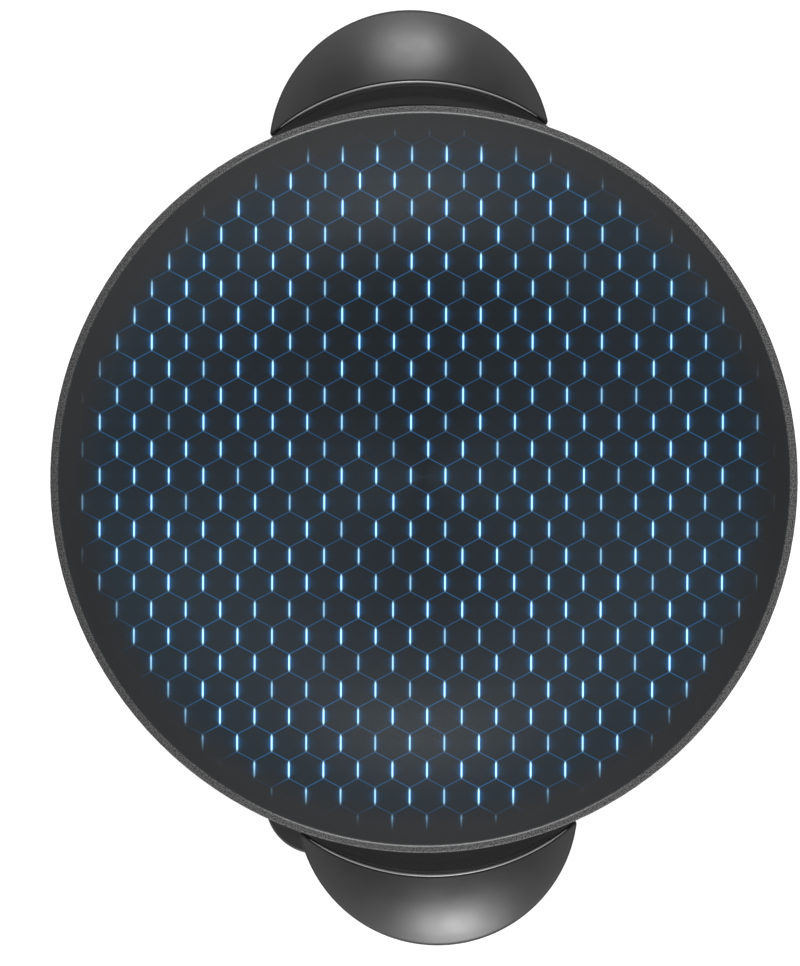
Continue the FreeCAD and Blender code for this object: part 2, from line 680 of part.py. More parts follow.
def pan_screws():
    """Screws that go up through the floor, the spacers and the shield into the pan."""
    one = screw(PAN_SCREW_RADIUS, PAN_SCREW_HEAD, FLOOR_HEIGHT - HEAD_HEIGHT, SHIELD_TOP + PAN_SCREW_GRIP)
    return Part.makeCompound([placed(one, x, y) for x, y in round_places(BOSS_COUNT, BOSS_ORBIT)])


# ---------------------------------------------------------------- cradle
def cradle_shell():
    """Full shell of revolution: drum, floor and dish, up to the underside of the handles."""
    top = TONGUE_BOTTOM + TONGUE_THICKNESS / 2
    drum_inner = DRUM_TOP_RADIUS - BASE_WALL
    foot_inner = DRUM_FOOT_RADIUS - BASE_WALL
    top_outer = bowl_reach(top, DISH_OUTER_OFFSET)
    top_inner = bowl_reach(top, DISH_INNER_OFFSET)
    drum_top_inner = bowl_height(drum_inner, DISH_INNER_OFFSET)
    edges = [
        line((foot_inner, 0, DRUM_FOOT_HEIGHT), (DRUM_FOOT_RADIUS, 0, DRUM_FOOT_HEIGHT)),
        line((DRUM_FOOT_RADIUS, 0, DRUM_FOOT_HEIGHT), (DRUM_TOP_RADIUS, 0, DRUM_TOP)),
        bowl_arc(DISH_OUTER_OFFSET, DRUM_TOP_RADIUS, top_outer),
        line((top_outer, 0, top), (top_inner, 0, top)),
        bowl_arc(DISH_INNER_OFFSET, drum_inner, top_inner),
        line((drum_inner, 0, drum_top_inner), (foot_inner, 0, FLOOR_TOP)),
        line((foot_inner, 0, FLOOR_TOP), (0, 0, FLOOR_TOP)),
        line((0, 0, FLOOR_TOP), (0, 0, FLOOR_HEIGHT)),
        line((0, 0, FLOOR_HEIGHT), (foot_inner, 0, FLOOR_HEIGHT)),
        line((foot_inner, 0, FLOOR_HEIGHT), (foot_inner, 0, DRUM_FOOT_HEIGHT)),
    ]
    return spun(edges)


def arms_outline():
    """Prism along Y that keeps the two arms, flaring into the handles."""
    flare_foot = TONGUE_BOTTOM - ARM_FLARE
    half = ARM_HALF_WIDTH + ARM_FLARE
    bend = ARM_FLARE * (1 - math.sqrt(0.5))
    top = TONGUE_TOP
    y = -RIM_RADIUS
    edges = [
        line((-ARM_HALF_WIDTH, y, 0), (ARM_HALF_WIDTH, y, 0)),
        line((ARM_HALF_WIDTH, y, 0), (ARM_HALF_WIDTH, y, flare_foot)),
        arc(
            (ARM_HALF_WIDTH, y, flare_foot),
            (ARM_HALF_WIDTH + bend, y, TONGUE_BOTTOM - bend),
            (half, y, TONGUE_BOTTOM),
        ),
        line((half, y, TONGUE_BOTTOM), (half, y, top)),
        line((half, y, top), (-half, y, top)),
        line((-half, y, top), (-half, y, TONGUE_BOTTOM)),
        arc(
            (-half, y, TONGUE_BOTTOM),
            (-ARM_HALF_WIDTH - bend, y, TONGUE_BOTTOM - bend),
            (-ARM_HALF_WIDTH, y, flare_foot),
        ),
        line((-ARM_HALF_WIDTH, y, flare_foot), (-ARM_HALF_WIDTH, y, 0)),
    ]
    return Part.Face(Part.Wire(edges)).extrude(Vector(0, 2 * RIM_RADIUS, 0))


def tongue():
    """Flat half-moon plate inside the rear handle, part of the cradle."""
    radius = HANDLE_RADIUS - HANDLE_WALL - TONGUE_CLEARANCE
    plate = post(radius, 0, HANDLE_CENTRE, TONGUE_BOTTOM, TONGUE_TOP)
    clear = bowl_reach(TONGUE_TOP, DISH_INNER_OFFSET)
    plate = plate.cut(post(clear, 0, 0, TONGUE_BOTTOM - CUT, TONGUE_TOP + CUT))
    hole_radius = HANDLE_SCREW_RADIUS + HEAD_CLEARANCE
    return plate.cut(handle_screw_bodies(hole_radius, TONGUE_BOTTOM - CUT, TONGUE_TOP + CUT))


def drum_vents():
    """Slots around the drum, left out near the probe's window."""
    foot_level = FLOOR_TOP + DRUM_VENT_MARGIN
    slot = box(
        DRUM_FOOT_RADIUS - 2 * BASE_WALL,
        DRUM_TOP_RADIUS + CUT,
        -DRUM_VENT_WIDTH / 2,
        DRUM_VENT_WIDTH / 2,
        foot_level,
        foot_level + DRUM_VENT_HEIGHT,
    )
    slots = []
    for i in range(DRUM_VENTS):
        angle = 360.0 * (i + 0.5) / DRUM_VENTS
        away = abs((angle - PROBE_BEARING + 180) % 360 - 180)
        if away > DRUM_VENT_CLEAR_ANGLE:
            turned = slot.copy()
            turned.rotate(Vector(0, 0, 0), Vector(0, 0, 1), angle)
            slots.append(turned)
    return slots


def floor_vents():
    """Slots in the cradle's floor."""
    slot = box(
        FLOOR_VENT_INNER,
        FLOOR_VENT_OUTER,
        -FLOOR_VENT_WIDTH / 2,
        FLOOR_VENT_WIDTH / 2,
        FLOOR_HEIGHT - CUT,
        FLOOR_TOP + CUT,
    )
    slots = []
    for i in range(FLOOR_VENTS):
        turned = slot.copy()
        turned.rotate(Vector(0, 0, 0), Vector(0, 0, 1), 360.0 * (i + 0.5) / FLOOR_VENTS)
        slots.append(turned)
    return slots


def foot_places():
    """Centres of the four feet."""
    return round_places(4, FOOT_ORBIT, 45.0)


def base_shell():
    """Cradle: vented drum and dish, two arms and the two plates that carry the handles."""
    keep = joined([post(RIM_RADIUS, 0, 0, 0, DISH_TOP), arms_outline()])
    shell = cradle_shell().common(keep)
    rear = tongue()
    body = joined([shell, rear, turned_to_front(rear)])
    window = box(
        DRUM_FOOT_RADIUS - 3 * BASE_WALL,
        GUARD_MOUTH + HOUSING_STAND_OFF,
        -GUARD_HALF_WIDTH - WINDOW_CLEARANCE,
        GUARD_HALF_WIDTH + WINDOW_CLEARANCE,
        -GUARD_HALF_HEIGHT - WINDOW_CLEARANCE,
        GUARD_HALF_HEIGHT + WINDOW_CLEARANCE,
    )
    holes = [on_probe(window)]
    for x, y in round_places(BOSS_COUNT, BOSS_ORBIT):
        holes.append(post(PAN_SCREW_RADIUS + HEAD_CLEARANCE, x, y, FLOOR_HEIGHT - CUT, FLOOR_TOP + CUT))
    for x, y in foot_places():
        holes.append(post(FOOT_SCREW_RADIUS, x, y, FLOOR_HEIGHT - CUT, FLOOR_TOP + CUT))
    return body.cut(holes + drum_vents() + floor_vents())


def foot(x, y):
    """Rubber foot with a sunk hole for its screw."""
    cone = Part.makeCone(FOOT_RADIUS - FOOT_TAPER, FOOT_RADIUS, FLOOR_HEIGHT, Vector(x, y, 0))
    shank = post(FOOT_SCREW_RADIUS, x, y, -CUT, FLOOR_HEIGHT + CUT)
    sink = post(FOOT_SCREW_HEAD, x, y, -CUT, FLOOR_HEIGHT / 2 + HEAD_HEIGHT)
    return cone.cut([shank, sink])


def foot_screws():
    """Screws that hold the four feet to the floor."""
    one = screw(FOOT_SCREW_RADIUS, FOOT_SCREW_HEAD, FLOOR_HEIGHT / 2, FLOOR_TOP)
    return Part.makeCompound([placed(one, x, y) for x, y in foot_places()])


# ---------------------------------------------------------------- handles
def handle_screw_bodies(radius, z0, z1):
    """Upright cylinders at the rear handle's three screws."""
    return [post(radius, x, y, z0, z1) for x, y in HANDLE_SCREW_PLACES]


def handle_crown(inset):
    """Crowned half-moon blank, a solid of revolution about the handle's own axis."""
    radius = HANDLE_RADIUS - inset
    crown = HANDLE_CROWN_RADIUS - inset
    round_radius = HANDLE_ROUND - inset
    crown_centre = HANDLE_CROWN_TOP - HANDLE_CROWN_RADIUS
    round_x = radius - round_radius
    round_z = crown_centre + math.sqrt((crown - round_radius) ** 2 - round_x**2)
    share = crown / (crown - round_radius)
    meet_x = round_x * share
    meet_z = crown_centre + (round_z - crown_centre) * share
    meet_angle = math.atan2(meet_z - round_z, meet_x - round_x)
    middle = (
        round_x + round_radius * math.cos(meet_angle / 2),
        0,
        round_z + round_radius * math.sin(meet_angle / 2),
    )
    half = meet_x / 2
    crown_middle = (half, 0, crown_centre + math.sqrt(crown**2 - half**2))
    top = (0, 0, crown_centre + crown)
    edges = [
        line((0, 0, HANDLE_PARTING), (radius, 0, HANDLE_PARTING)),
        line((radius, 0, HANDLE_PARTING), (radius, 0, round_z)),
        arc((radius, 0, round_z), middle, (meet_x, 0, meet_z)),
        arc((meet_x, 0, meet_z), crown_middle, top),
        line(top, (0, 0, HANDLE_PARTING)),
    ]
    return placed(spun(edges), 0, HANDLE_CENTRE, 0)


def ridge_edges(shape):
    """Edges where the crown and its side meet the wall of the recess."""
    found = []
    for edge in shape.Edges:
        middle = edge.valueAt((edge.FirstParameter + edge.LastParameter) / 2)
        from_ridge = abs(math.hypot(middle.x, middle.y - RIDGE_CENTRE) - RIDGE_RADIUS)
        if from_ridge < NEAR and middle.z > HANDLE_PARTING + NEAR:
            found.append(edge)
    return found


def recess_bed(inset):
    """Blank under the recess's floor, which swells a little less than the crown."""
    edge = RECESS_EDGE - inset
    top = edge + RECESS_SAG
    swell = (HANDLE_RADIUS**2 + RECESS_SAG**2) / (2 * RECESS_SAG)
    half = HANDLE_RADIUS / 2
    middle = (half, 0, top - swell + math.sqrt(swell**2 - half**2))
    edges = [
        line((0, 0, HANDLE_PARTING), (HANDLE_RADIUS, 0, HANDLE_PARTING)),
        line((HANDLE_RADIUS, 0, HANDLE_PARTING), (HANDLE_RADIUS, 0, edge)),
        arc((HANDLE_RADIUS, 0, edge), middle, (0, 0, top)),
        line((0, 0, top), (0, 0, HANDLE_PARTING)),
    ]
    return placed(spun(edges), 0, HANDLE_CENTRE, 0)


def handle_cover():
    """Upper shell of the rear handle: crown, ridge and the recess between ridge and rim."""
    top = HANDLE_CROWN_TOP + CUT
    recess = post(RIDGE_RADIUS, 0, RIDGE_CENTRE, HANDLE_PARTING, top)
    outside = handle_crown(0).cut(recess)
    outside = outside.makeFillet(RIDGE_ROUND, ridge_edges(outside))
    outside = joined([outside, recess.common(recess_bed(0))])
    outside = outside.cut(post(HANDLE_INNER_RADIUS, 0, 0, 0, top))
    ridge_wall = post(RIDGE_RADIUS + HANDLE_WALL, 0, RIDGE_CENTRE, TONGUE_TOP, top)
    cavity = handle_crown(HANDLE_WALL).cut(ridge_wall.cut(recess_bed(HANDLE_WALL)))
    boss_limit = handle_crown(HANDLE_WALL / 2)
    bosses = [b.common(boss_limit) for b in handle_screw_bodies(HANDLE_BOSS_RADIUS, TONGUE_TOP, top)]
    pilots = handle_screw_bodies(HANDLE_SCREW_RADIUS, TONGUE_TOP - CUT, TONGUE_TOP + HANDLE_SCREW_BITE)
    body = outside.cut(cavity.cut(post(HANDLE_INNER_RADIUS + HANDLE_WALL, 0, 0, 0, top)))
    body = joined([body] + bosses)
    return body.cut([tongue()] + pilots)


def grip_blank(inset):
    """Blank of the rear handle's lower shell, a solid of revolution about the handle's own axis."""
    radius = HANDLE_RADIUS - inset
    bottom = GRIP_BOTTOM + inset
    round_radius = GRIP_ROUND - inset
    bend = round_radius * (1 - math.sqrt(0.5))
    edges = [
        line((0, 0, bottom), (radius - round_radius, 0, bottom)),
        arc(
            (radius - round_radius, 0, bottom),
            (radius - bend, 0, bottom + bend),
            (radius, 0, bottom + round_radius),
        ),
        line((radius, 0, bottom + round_radius), (radius, 0, HANDLE_PARTING)),
        line((radius, 0, HANDLE_PARTING), (0, 0, HANDLE_PARTING)),
        line((0, 0, HANDLE_PARTING), (0, 0, bottom)),
    ]
    return placed(spun(edges), 0, HANDLE_CENTRE, 0)


def handle_grip():
    """Lower shell of the rear handle, screwed up through the plate into the cover."""
    bevel = Part.makeCone(
        GRIP_INNER_RADIUS + GRIP_BEVEL,
        GRIP_INNER_RADIUS,
        GRIP_BEVEL,
        Vector(0, 0, GRIP_BOTTOM),
    )
    outside = grip_blank(0).cut([post(GRIP_INNER_RADIUS, 0, 0, 0, TONGUE_TOP), bevel])
    wall = GRIP_INNER_RADIUS + HANDLE_WALL
    cavity = grip_blank(HANDLE_WALL).cut(post(wall, 0, 0, 0, TONGUE_TOP))
    inside_bottom = Vector(0, 0, GRIP_BOTTOM + HANDLE_WALL)
    inner_bevel = Part.makeCone(wall + GRIP_BEVEL, wall, GRIP_BEVEL, inside_bottom)
    cavity = cavity.cut(inner_bevel)
    posts = handle_screw_bodies(HANDLE_BOSS_RADIUS, GRIP_BOTTOM, TONGUE_BOTTOM)
    body = joined([outside.cut(cavity)] + posts)
    hole_radius = HANDLE_SCREW_RADIUS + HEAD_CLEARANCE
    sink_radius = HANDLE_SCREW_HEAD + HEAD_CLEARANCE
    holes = handle_screw_bodies(hole_radius, GRIP_BOTTOM - CUT, TONGUE_BOTTOM + CUT)
    sinks = handle_screw_bodies(sink_radius, GRIP_BOTTOM - CUT, GRIP_BOTTOM + 2 * HEAD_HEIGHT)
    return body.cut(tongue()).cut(holes + sinks)


def handle_screws():
    """Three screws of the rear handle."""
    one = screw(
        HANDLE_SCREW_RADIUS,
        HANDLE_SCREW_HEAD,
        GRIP_BOTTOM + HEAD_HEIGHT,
        TONGUE_TOP + HANDLE_SCREW_BITE,
    )
    return Part.makeCompound([placed(one, x, y) for x, y in HANDLE_SCREW_PLACES])


# ---------------------------------------------------------------- probe housing
def housing_outline(inset):
    """Outline of the probe's housing: a straight neck that flows into a round pod."""
    neck = NECK_HALF_WIDTH - inset
    pod = POD_RADIUS - inset
    blend = NECK_BLEND + inset
    face = HOUSING_FACE + inset
    blend_y = neck + blend
    blend_x = POD_REACH - math.sqrt((pod + blend) ** 2 - blend_y**2)
    share = pod / (pod + blend)
    meet_x = POD_REACH + (blend_x - POD_REACH) * share
    meet_y = blend_y * share
    half_angle = (math.atan2(meet_y - blend_y, meet_x - blend_x) - math.pi / 2) / 2
    middle_x = blend_x + blend * math.cos(half_angle)
    middle_y = blend_y + blend * math.sin(half_angle)
    return [
        line((face, -neck, 0), (blend_x, -neck, 0)),
        arc((blend_x, -neck, 0), (middle_x, -middle_y, 0), (meet_x, -meet_y, 0)),
        arc((meet_x, -meet_y, 0), (POD_REACH + pod, 0, 0), (meet_x, meet_y, 0)),
        arc((meet_x, meet_y, 0), (middle_x, middle_y, 0), (blend_x, neck, 0)),
        line((blend_x, neck, 0), (face, neck, 0)),
        line((face, neck, 0), (face, -neck, 0)),
    ]


def slope_cutter(drop):
    """Body above the neck and the slope that rises to the pod's flat top, lowered by drop."""
    start = POD_REACH - SLOPE_START + drop / 2
    end = POD_REACH - SLOPE_END + drop / 2
    far = HOUSING_FACE - POD_RADIUS
    points = [
        (far, NECK_TOP - drop),
        (start, NECK_TOP - drop),
        (end, POD_TOP - drop),
        (end, POD_TOP + CUT),
        (far, POD_TOP + CUT),
    ]
    return side_prism(points, POD_RADIUS + CUT)


def housing_bosses(z0, z1):
    """Screw bosses of the housing."""
    return [post(HOUSING_BOSS_RADIUS, x, y, z0, z1) for x, y in HOUSING_SCREW_PLACES]


def lens_axis(radius, start, end):
    """Rod on the lens's axis, between two distances from the pod's centre."""
    height = HOUSING_PARTING + LENS_RISE
    return rod(radius, (POD_REACH + start, 0, height), (POD_REACH + end, 0, height))


def tail_box():
    """Rear stub of the nose, which the housing's neck holds."""
    return level_box(HOUSING_FACE - CUT, TAIL_END, TAIL_HALF_WIDTH, TAIL_HALF_HEIGHT)


def probe_upper_cover():
    """Upper half of the probe's housing: neck, slope and the pod's flat top under the dial."""
    outside = prism(housing_outline(0), HOUSING_PARTING, POD_TOP).cut(slope_cutter(0))
    top_edges = [e for e in outside.Edges if e.BoundBox.ZMin > POD_TOP - NEAR and e.BoundBox.XLength > NEAR]
    outside = outside.makeFillet(HOUSING_ROUND, top_edges)
    cavity = prism(housing_outline(HOUSING_WALL), HOUSING_PARTING - CUT, POD_TOP - HOUSING_WALL)
    cavity = cavity.cut(slope_cutter(HOUSING_WALL))
    bosses = [b.common(outside) for b in housing_bosses(HOUSING_PARTING, POD_TOP)]
    body = joined([outside.cut(cavity)] + bosses)
    pilots = [
        post(HOUSING_SCREW_RADIUS, x, y, HOUSING_PARTING - CUT, HOUSING_PARTING + HOUSING_SCREW_BITE)
        for x, y in HOUSING_SCREW_PLACES
    ]
    dial_hole = post(BUSH_SLEEVE_RADIUS, POD_REACH, 0, BUSH_FLANGE_TOP - CUT, POD_TOP + CUT)
    lens_hole = lens_axis(LENS_RADIUS, POD_RADIUS - 2 * HOUSING_WALL, POD_RADIUS + CUT)
    return on_probe(body.cut(pilots + [dial_hole, lens_hole]))


def probe_lower_cover():
    """Lower half of the probe's housing, with the trigger's two ears."""
    outside = prism(housing_outline(0), HOUSING_BOTTOM, HOUSING_PARTING)
    low_edges = [e for e in outside.Edges if e.BoundBox.ZMax < HOUSING_BOTTOM + NEAR]
    low_edges = [e for e in low_edges if e.BoundBox.XMax > HOUSING_FACE + CUT]
    outside = outside.makeFillet(HOUSING_ROUND, low_edges)
    cavity = prism(housing_outline(HOUSING_WALL), HOUSING_INSIDE_BOTTOM, HOUSING_PARTING + CUT)
    bosses = [b.common(outside) for b in housing_bosses(HOUSING_BOTTOM, HOUSING_PARTING)]
    ears = []
    for side in (-1, 1):
        inner, outer = sorted((side * EAR_INNER, side * EAR_OUTER))
        ear = box(
            TRIGGER_PIVOT_X - EAR_HALF_LENGTH,
            TRIGGER_PIVOT_X + EAR_HALF_LENGTH,
            inner,
            outer,
            TRIGGER_PIVOT_Z,
            HOUSING_INSIDE_BOTTOM,
        )
        ears.append(ear)
        ears.append(across(EAR_HALF_LENGTH, inner, outer))
    body = joined([outside.cut(cavity)] + bosses + ears)
    holes = [tail_box(), trigger_pin_body(), gland_body(0)]
    hole_radius = HOUSING_SCREW_RADIUS + HEAD_CLEARANCE
    sink_radius = HOUSING_SCREW_HEAD + HEAD_CLEARANCE
    for x, y in HOUSING_SCREW_PLACES:
        holes.append(post(hole_radius, x, y, HOUSING_BOTTOM, HOUSING_PARTING + CUT))
        holes.append(post(sink_radius, x, y, HOUSING_BOTTOM - CUT, HOUSING_BOTTOM + HOUSING_SCREW_SINK))
    return on_probe(body.cut(holes))


def probe_screws():
    """Four screws that hold the two halves of the housing together."""
    head_bottom = HOUSING_BOTTOM + HOUSING_SCREW_SINK - HEAD_HEIGHT
    one = screw(HOUSING_SCREW_RADIUS, HOUSING_SCREW_HEAD, head_bottom, HOUSING_PARTING + HOUSING_SCREW_BITE)
    return on_probe(Part.makeCompound([placed(one, x, y) for x, y in HOUSING_SCREW_PLACES]))


def probe_nose():
    """Heat-proof nose that goes into the guard, with cavities for the pins' sockets."""
    front = level_box(NOSE_FACE, HOUSING_FACE, NOSE_HALF_WIDTH, NOSE_HALF_HEIGHT)
    front = front.makeFillet(GUARD_ROUND, edges_along_x(front))
    body = joined([front, tail_box()])
    holes = [rod(SENSOR_RADIUS, (NOSE_FACE - CUT, 0, 0), (TAIL_END - 2 * HOUSING_WALL, 0, 0))]
    holes.append(rod(PUSH_ROD_RADIUS + HEAD_CLEARANCE, (NOSE_FACE, 0, 0), (TAIL_END + CUT, 0, 0)))
    for side in (-1, 1):
        y = side * PIN_SPREAD
        cavity_end = SOCKET_END + NOSE_END_GAP
        holes.append(rod(SOCKET_RADIUS, (NOSE_FACE - CUT, y, 0), (cavity_end, y, 0)))
        holes.append(
            box(
                cavity_end - CUT,
                TAIL_END + CUT,
                y - SOCKET_TAIL_WIDTH / 2,
                y + SOCKET_TAIL_WIDTH / 2,
                -SOCKET_TAIL_THICKNESS / 2,
                SOCKET_TAIL_THICKNESS / 2,
            )
        )
    return on_probe(body.cut(holes))


def contact_sockets():
    """Two sleeves that grip the pins, each with a tail to the terminal block."""
    sockets = []
    for side in (-1, 1):
        y = side * PIN_SPREAD
        inner = PIN_RADIUS + SOCKET_CLEARANCE
        sleeve = tube(SOCKET_RADIUS, inner, (SOCKET_START, y, 0), (SOCKET_END, y, 0))
        plug = rod(SOCKET_RADIUS, (SOCKET_END - SOCKET_WALL, y, 0), (SOCKET_END, y, 0))
        half_slit = SOCKET_WALL / 2
        slit_end = SOCKET_END - SOCKET_CLOSED_END
        slit = box(SOCKET_START - CUT, slit_end, y - half_slit, y + half_slit, 0, SOCKET_RADIUS + CUT)
        tail = box(
            SOCKET_END - SOCKET_WALL,
            TAIL_END + TERMINAL_BLOCK_DEPTH,
            y - SOCKET_TAIL_WIDTH / 2,
            y + SOCKET_TAIL_WIDTH / 2,
            -SOCKET_TAIL_THICKNESS / 2,
            SOCKET_TAIL_THICKNESS / 2,
        )
        sockets.append(joined([sleeve, plug, tail]).cut(slit))
    return on_probe(Part.makeCompound(sockets))


def sensor_rod():
    """Tube that reaches into the pan's bore and senses its temperature."""
    end = TAIL_END - 2 * HOUSING_WALL
    body = rod(SENSOR_RADIUS, (SENSOR_TIP, 0, 0), (end, 0, 0))
    tip = [e for e in body.Edges if e.BoundBox.XMax < SENSOR_TIP + NEAR]
    body = body.makeFillet(SENSOR_TIP_ROUND, tip)
    return on_probe(body.cut(rod(PUSH_ROD_RADIUS, (NOSE_FACE, 0, 0), (end + CUT, 0, 0))))


def push_rod():
    """Rod inside the sensor tube that bears on the fixed leaf."""
    return on_probe(rod(PUSH_ROD_RADIUS, (NOSE_FACE, 0, 0), (FIXED_LEAF_REACH, 0, 0)))


def terminal_block():
    """Ceramic block where the sockets' tails meet the cord's wires."""
    top = -SOCKET_TAIL_THICKNESS / 2
    half = PIN_SPREAD + TERMINAL_BLOCK_MARGIN
    body = box(TAIL_END, TAIL_END + TERMINAL_BLOCK_DEPTH, -half, half, HOUSING_INSIDE_BOTTOM, top)
    channel = box(
        TAIL_END - CUT,
        TAIL_END + TERMINAL_BLOCK_DEPTH + CUT,
        -TERMINAL_BLOCK_HOLE - CUT,
        TERMINAL_BLOCK_HOLE + CUT,
        top - 2 * PUSH_ROD_RADIUS,
        top + CUT,
    )
    middle = TAIL_END + TERMINAL_BLOCK_DEPTH / 2
    hole_bottom = HOUSING_INSIDE_BOTTOM + HOUSING_WALL
    sides = (-PIN_SPREAD, PIN_SPREAD)
    holes = [post(TERMINAL_BLOCK_HOLE, middle, y, hole_bottom, top + CUT) for y in sides]
    return on_probe(body.cut([channel] + holes))


def gland_body(bore):
    """Tapered cord sleeve on the side of the pod, with a bore, or solid for a bore of 0."""
    x = POD_REACH
    outside = POD_RADIUS + GLAND_COLLAR
    inside = POD_RADIUS - GLAND_FLANGE_INSET
    sleeve = rod(GLAND_RADIUS, (x, inside, 0), (x, outside, 0))
    flange = rod(GLAND_FLANGE_RADIUS, (x, inside, 0), (x, inside + GLAND_FLANGE, 0))
    cone = Part.makeCone(GLAND_RADIUS, GLAND_TIP_RADIUS, GLAND_CONE, Vector(x, outside, 0), Vector(0, 1, 0))
    body = joined([sleeve, flange, cone])
    if not bore:
        return body
    step = GLAND_CONE / (GLAND_GROOVES + 1)
    grooves = []
    for i in range(GLAND_GROOVES):
        middle = outside + step * (i + 1)
        taper = GLAND_RADIUS - (GLAND_RADIUS - GLAND_TIP_RADIUS) * (i + 1) / (GLAND_GROOVES + 1)
        depth = (taper - bore) / 2
        start = (x, middle - GLAND_GROOVE_WIDTH / 2, 0)
        end = (x, middle + GLAND_GROOVE_WIDTH / 2, 0)
        grooves.append(tube(GLAND_RADIUS + CUT, taper - depth, start, end))
    hole = rod(bore, (x, inside - CUT, 0), (x, outside + GLAND_CONE + CUT, 0))
    return body.cut(grooves + [hole])


def cord_gland():
    """Rubber sleeve where the cord enters the pod."""
    return on_probe(gland_body(GLAND_BORE))


def indicator_lens():
    """Small round window in the pod's end wall."""
    inner = math.sqrt((POD_RADIUS - HOUSING_WALL) ** 2 - (LENS_RADIUS + LENS_FLANGE) ** 2)
    body = lens_axis(LENS_RADIUS, inner - LENS_FLANGE, POD_RADIUS)
    flange = lens_axis(LENS_RADIUS + LENS_FLANGE, inner - LENS_FLANGE, inner)
    face = [e for e in body.Edges if e.BoundBox.XMin > POD_REACH + POD_RADIUS - NEAR]
    return on_probe(joined([body.makeFillet(LENS_FLANGE / 2, face), flange]))


def neon_lamp():
    """Glass lamp behind the lens."""
    inner = math.sqrt((POD_RADIUS - HOUSING_WALL) ** 2 - (LENS_RADIUS + LENS_FLANGE) ** 2) - LENS_FLANGE
    body = lens_axis(LAMP_RADIUS, inner - LAMP_LENGTH, inner)
    ends = [e for e in body.Edges if e.BoundBox.XLength < NEAR]
    return on_probe(body.makeFillet(LAMP_ROUND, ends[:1]))


# ---------------------------------------------------------------- thermostat
def thermostat_frame():
    """Bent sheet frame: foot plate, bridge under the cam and guide for the follower."""
    bridge_start = POD_REACH - FRAME_HALF_LENGTH
    bridge_end = POD_REACH + FRAME_HALF_LENGTH
    floor = HOUSING_INSIDE_BOTTOM
    half = FRAME_HALF_WIDTH
    narrow = half - HOUSING_BOSS_RADIUS - FRAME_SHEET
    plate = box(FRAME_FOOT, bridge_start, -narrow, narrow, floor, floor + FRAME_SHEET)
    wide = box(bridge_start, bridge_end, -half, half, floor, floor + FRAME_SHEET)
    bridge = box(bridge_start, bridge_end, -half, half, FRAME_BRIDGE_TOP - FRAME_SHEET, FRAME_BRIDGE_TOP)
    legs = [
        box(bridge_start, bridge_end, -half, FRAME_SHEET - half, floor, FRAME_BRIDGE_TOP),
        box(bridge_start, bridge_end, half - FRAME_SHEET, half, floor, FRAME_BRIDGE_TOP),
    ]
    guide_end = GUIDE_START + FRAME_SHEET
    guide = box(GUIDE_START, guide_end, -GUIDE_HALF_WIDTH, GUIDE_HALF_WIDTH, floor, GUIDE_TOP)
    body = joined([plate, wide, bridge, guide] + legs)
    under_bridge = FRAME_BRIDGE_TOP - 2 * FRAME_SHEET
    shaft_hole = post(SHAFT_RADIUS + RUNNING_CLEARANCE, POD_REACH, 0, under_bridge, FRAME_BRIDGE_TOP + CUT)
    pin_hole = rod(
        FOLLOWER_RADIUS + RUNNING_CLEARANCE,
        (GUIDE_START - CUT, 0, CAM_HEIGHT),
        (guide_end + CUT, 0, CAM_HEIGHT),
    )
    return on_probe(body.cut([shaft_hole, pin_hole]))


def leaf(reach, top):
    """Upright spring leaf of the switch."""
    floor = HOUSING_INSIDE_BOTTOM + FRAME_SHEET
    return box(reach, reach + LEAF_THICKNESS, -LEAF_HALF_WIDTH, LEAF_HALF_WIDTH, floor, top)


def moving_leaf():
    """Leaf that the follower pushes."""
    return on_probe(leaf(MOVING_LEAF_REACH, MOVING_LEAF_TOP))


def fixed_leaf():
    """Leaf that the push rod sets."""
    return on_probe(leaf(FIXED_LEAF_REACH, FIXED_LEAF_TOP))


def contact_points():
    """Silver contact on each leaf, facing each other."""
    starts = [FIXED_LEAF_REACH + LEAF_THICKNESS, MOVING_LEAF_REACH - CONTACT_HEIGHT]
    ends = [x + CONTACT_HEIGHT for x in starts]
    points = [rod(CONTACT_RADIUS, (a, 0, CONTACT_RISE), (b, 0, CONTACT_RISE)) for a, b in zip(starts, ends)]
    return on_probe(Part.makeCompound(points))


def insulator_stack():
    """Ceramic blocks that clamp the two leaves at their feet."""
    floor = HOUSING_INSIDE_BOTTOM + FRAME_SHEET
    fixed_back = FIXED_LEAF_REACH
    fixed_front = fixed_back + LEAF_THICKNESS
    moving_front = MOVING_LEAF_REACH + LEAF_THICKNESS
    spans = [
        (fixed_back - STACK_BLOCK, fixed_back),
        (fixed_front, MOVING_LEAF_REACH),
        (moving_front, moving_front + STACK_BLOCK),
    ]
    low_top = -PUSH_ROD_RADIUS - HEAD_CLEARANCE
    blocks = [box(x0, x1, -STACK_HALF_WIDTH, STACK_HALF_WIDTH, floor, low_top) for x0, x1 in spans]
    return on_probe(Part.makeCompound(blocks))


def cam_radius(turn):
    """Radius of the cam's spiral after this turn of the dial, in degrees."""
    return CAM_BASE_RADIUS + CAM_RISE * turn / DIAL_TURN


def dial_cam():
    """Spiral disc cam on the dial's shaft."""
    points = []
    steps = 24
    first = -CAM_LEAD_IN
    last = DIAL_TURN + CAM_LEAD_IN
    for i in range(steps + 1):
        turn = first + (last - first) * i / steps
        angle = math.radians(180 + turn)
        points.append(Vector(cam_radius(turn) * math.cos(angle), cam_radius(turn) * math.sin(angle), 0))
    spiral = Part.BSplineCurve()
    spiral.interpolate(points)
    wire = Part.Wire([spiral.toShape(), line(points[-1], points[0])])
    disc = prism(wire, CAM_HEIGHT - CAM_THICKNESS / 2, CAM_HEIGHT + CAM_THICKNESS / 2)
    disc = disc.cut(shaft_blank(SHAFT_END, POD_TOP))
    return on_probe(placed(disc, POD_REACH))


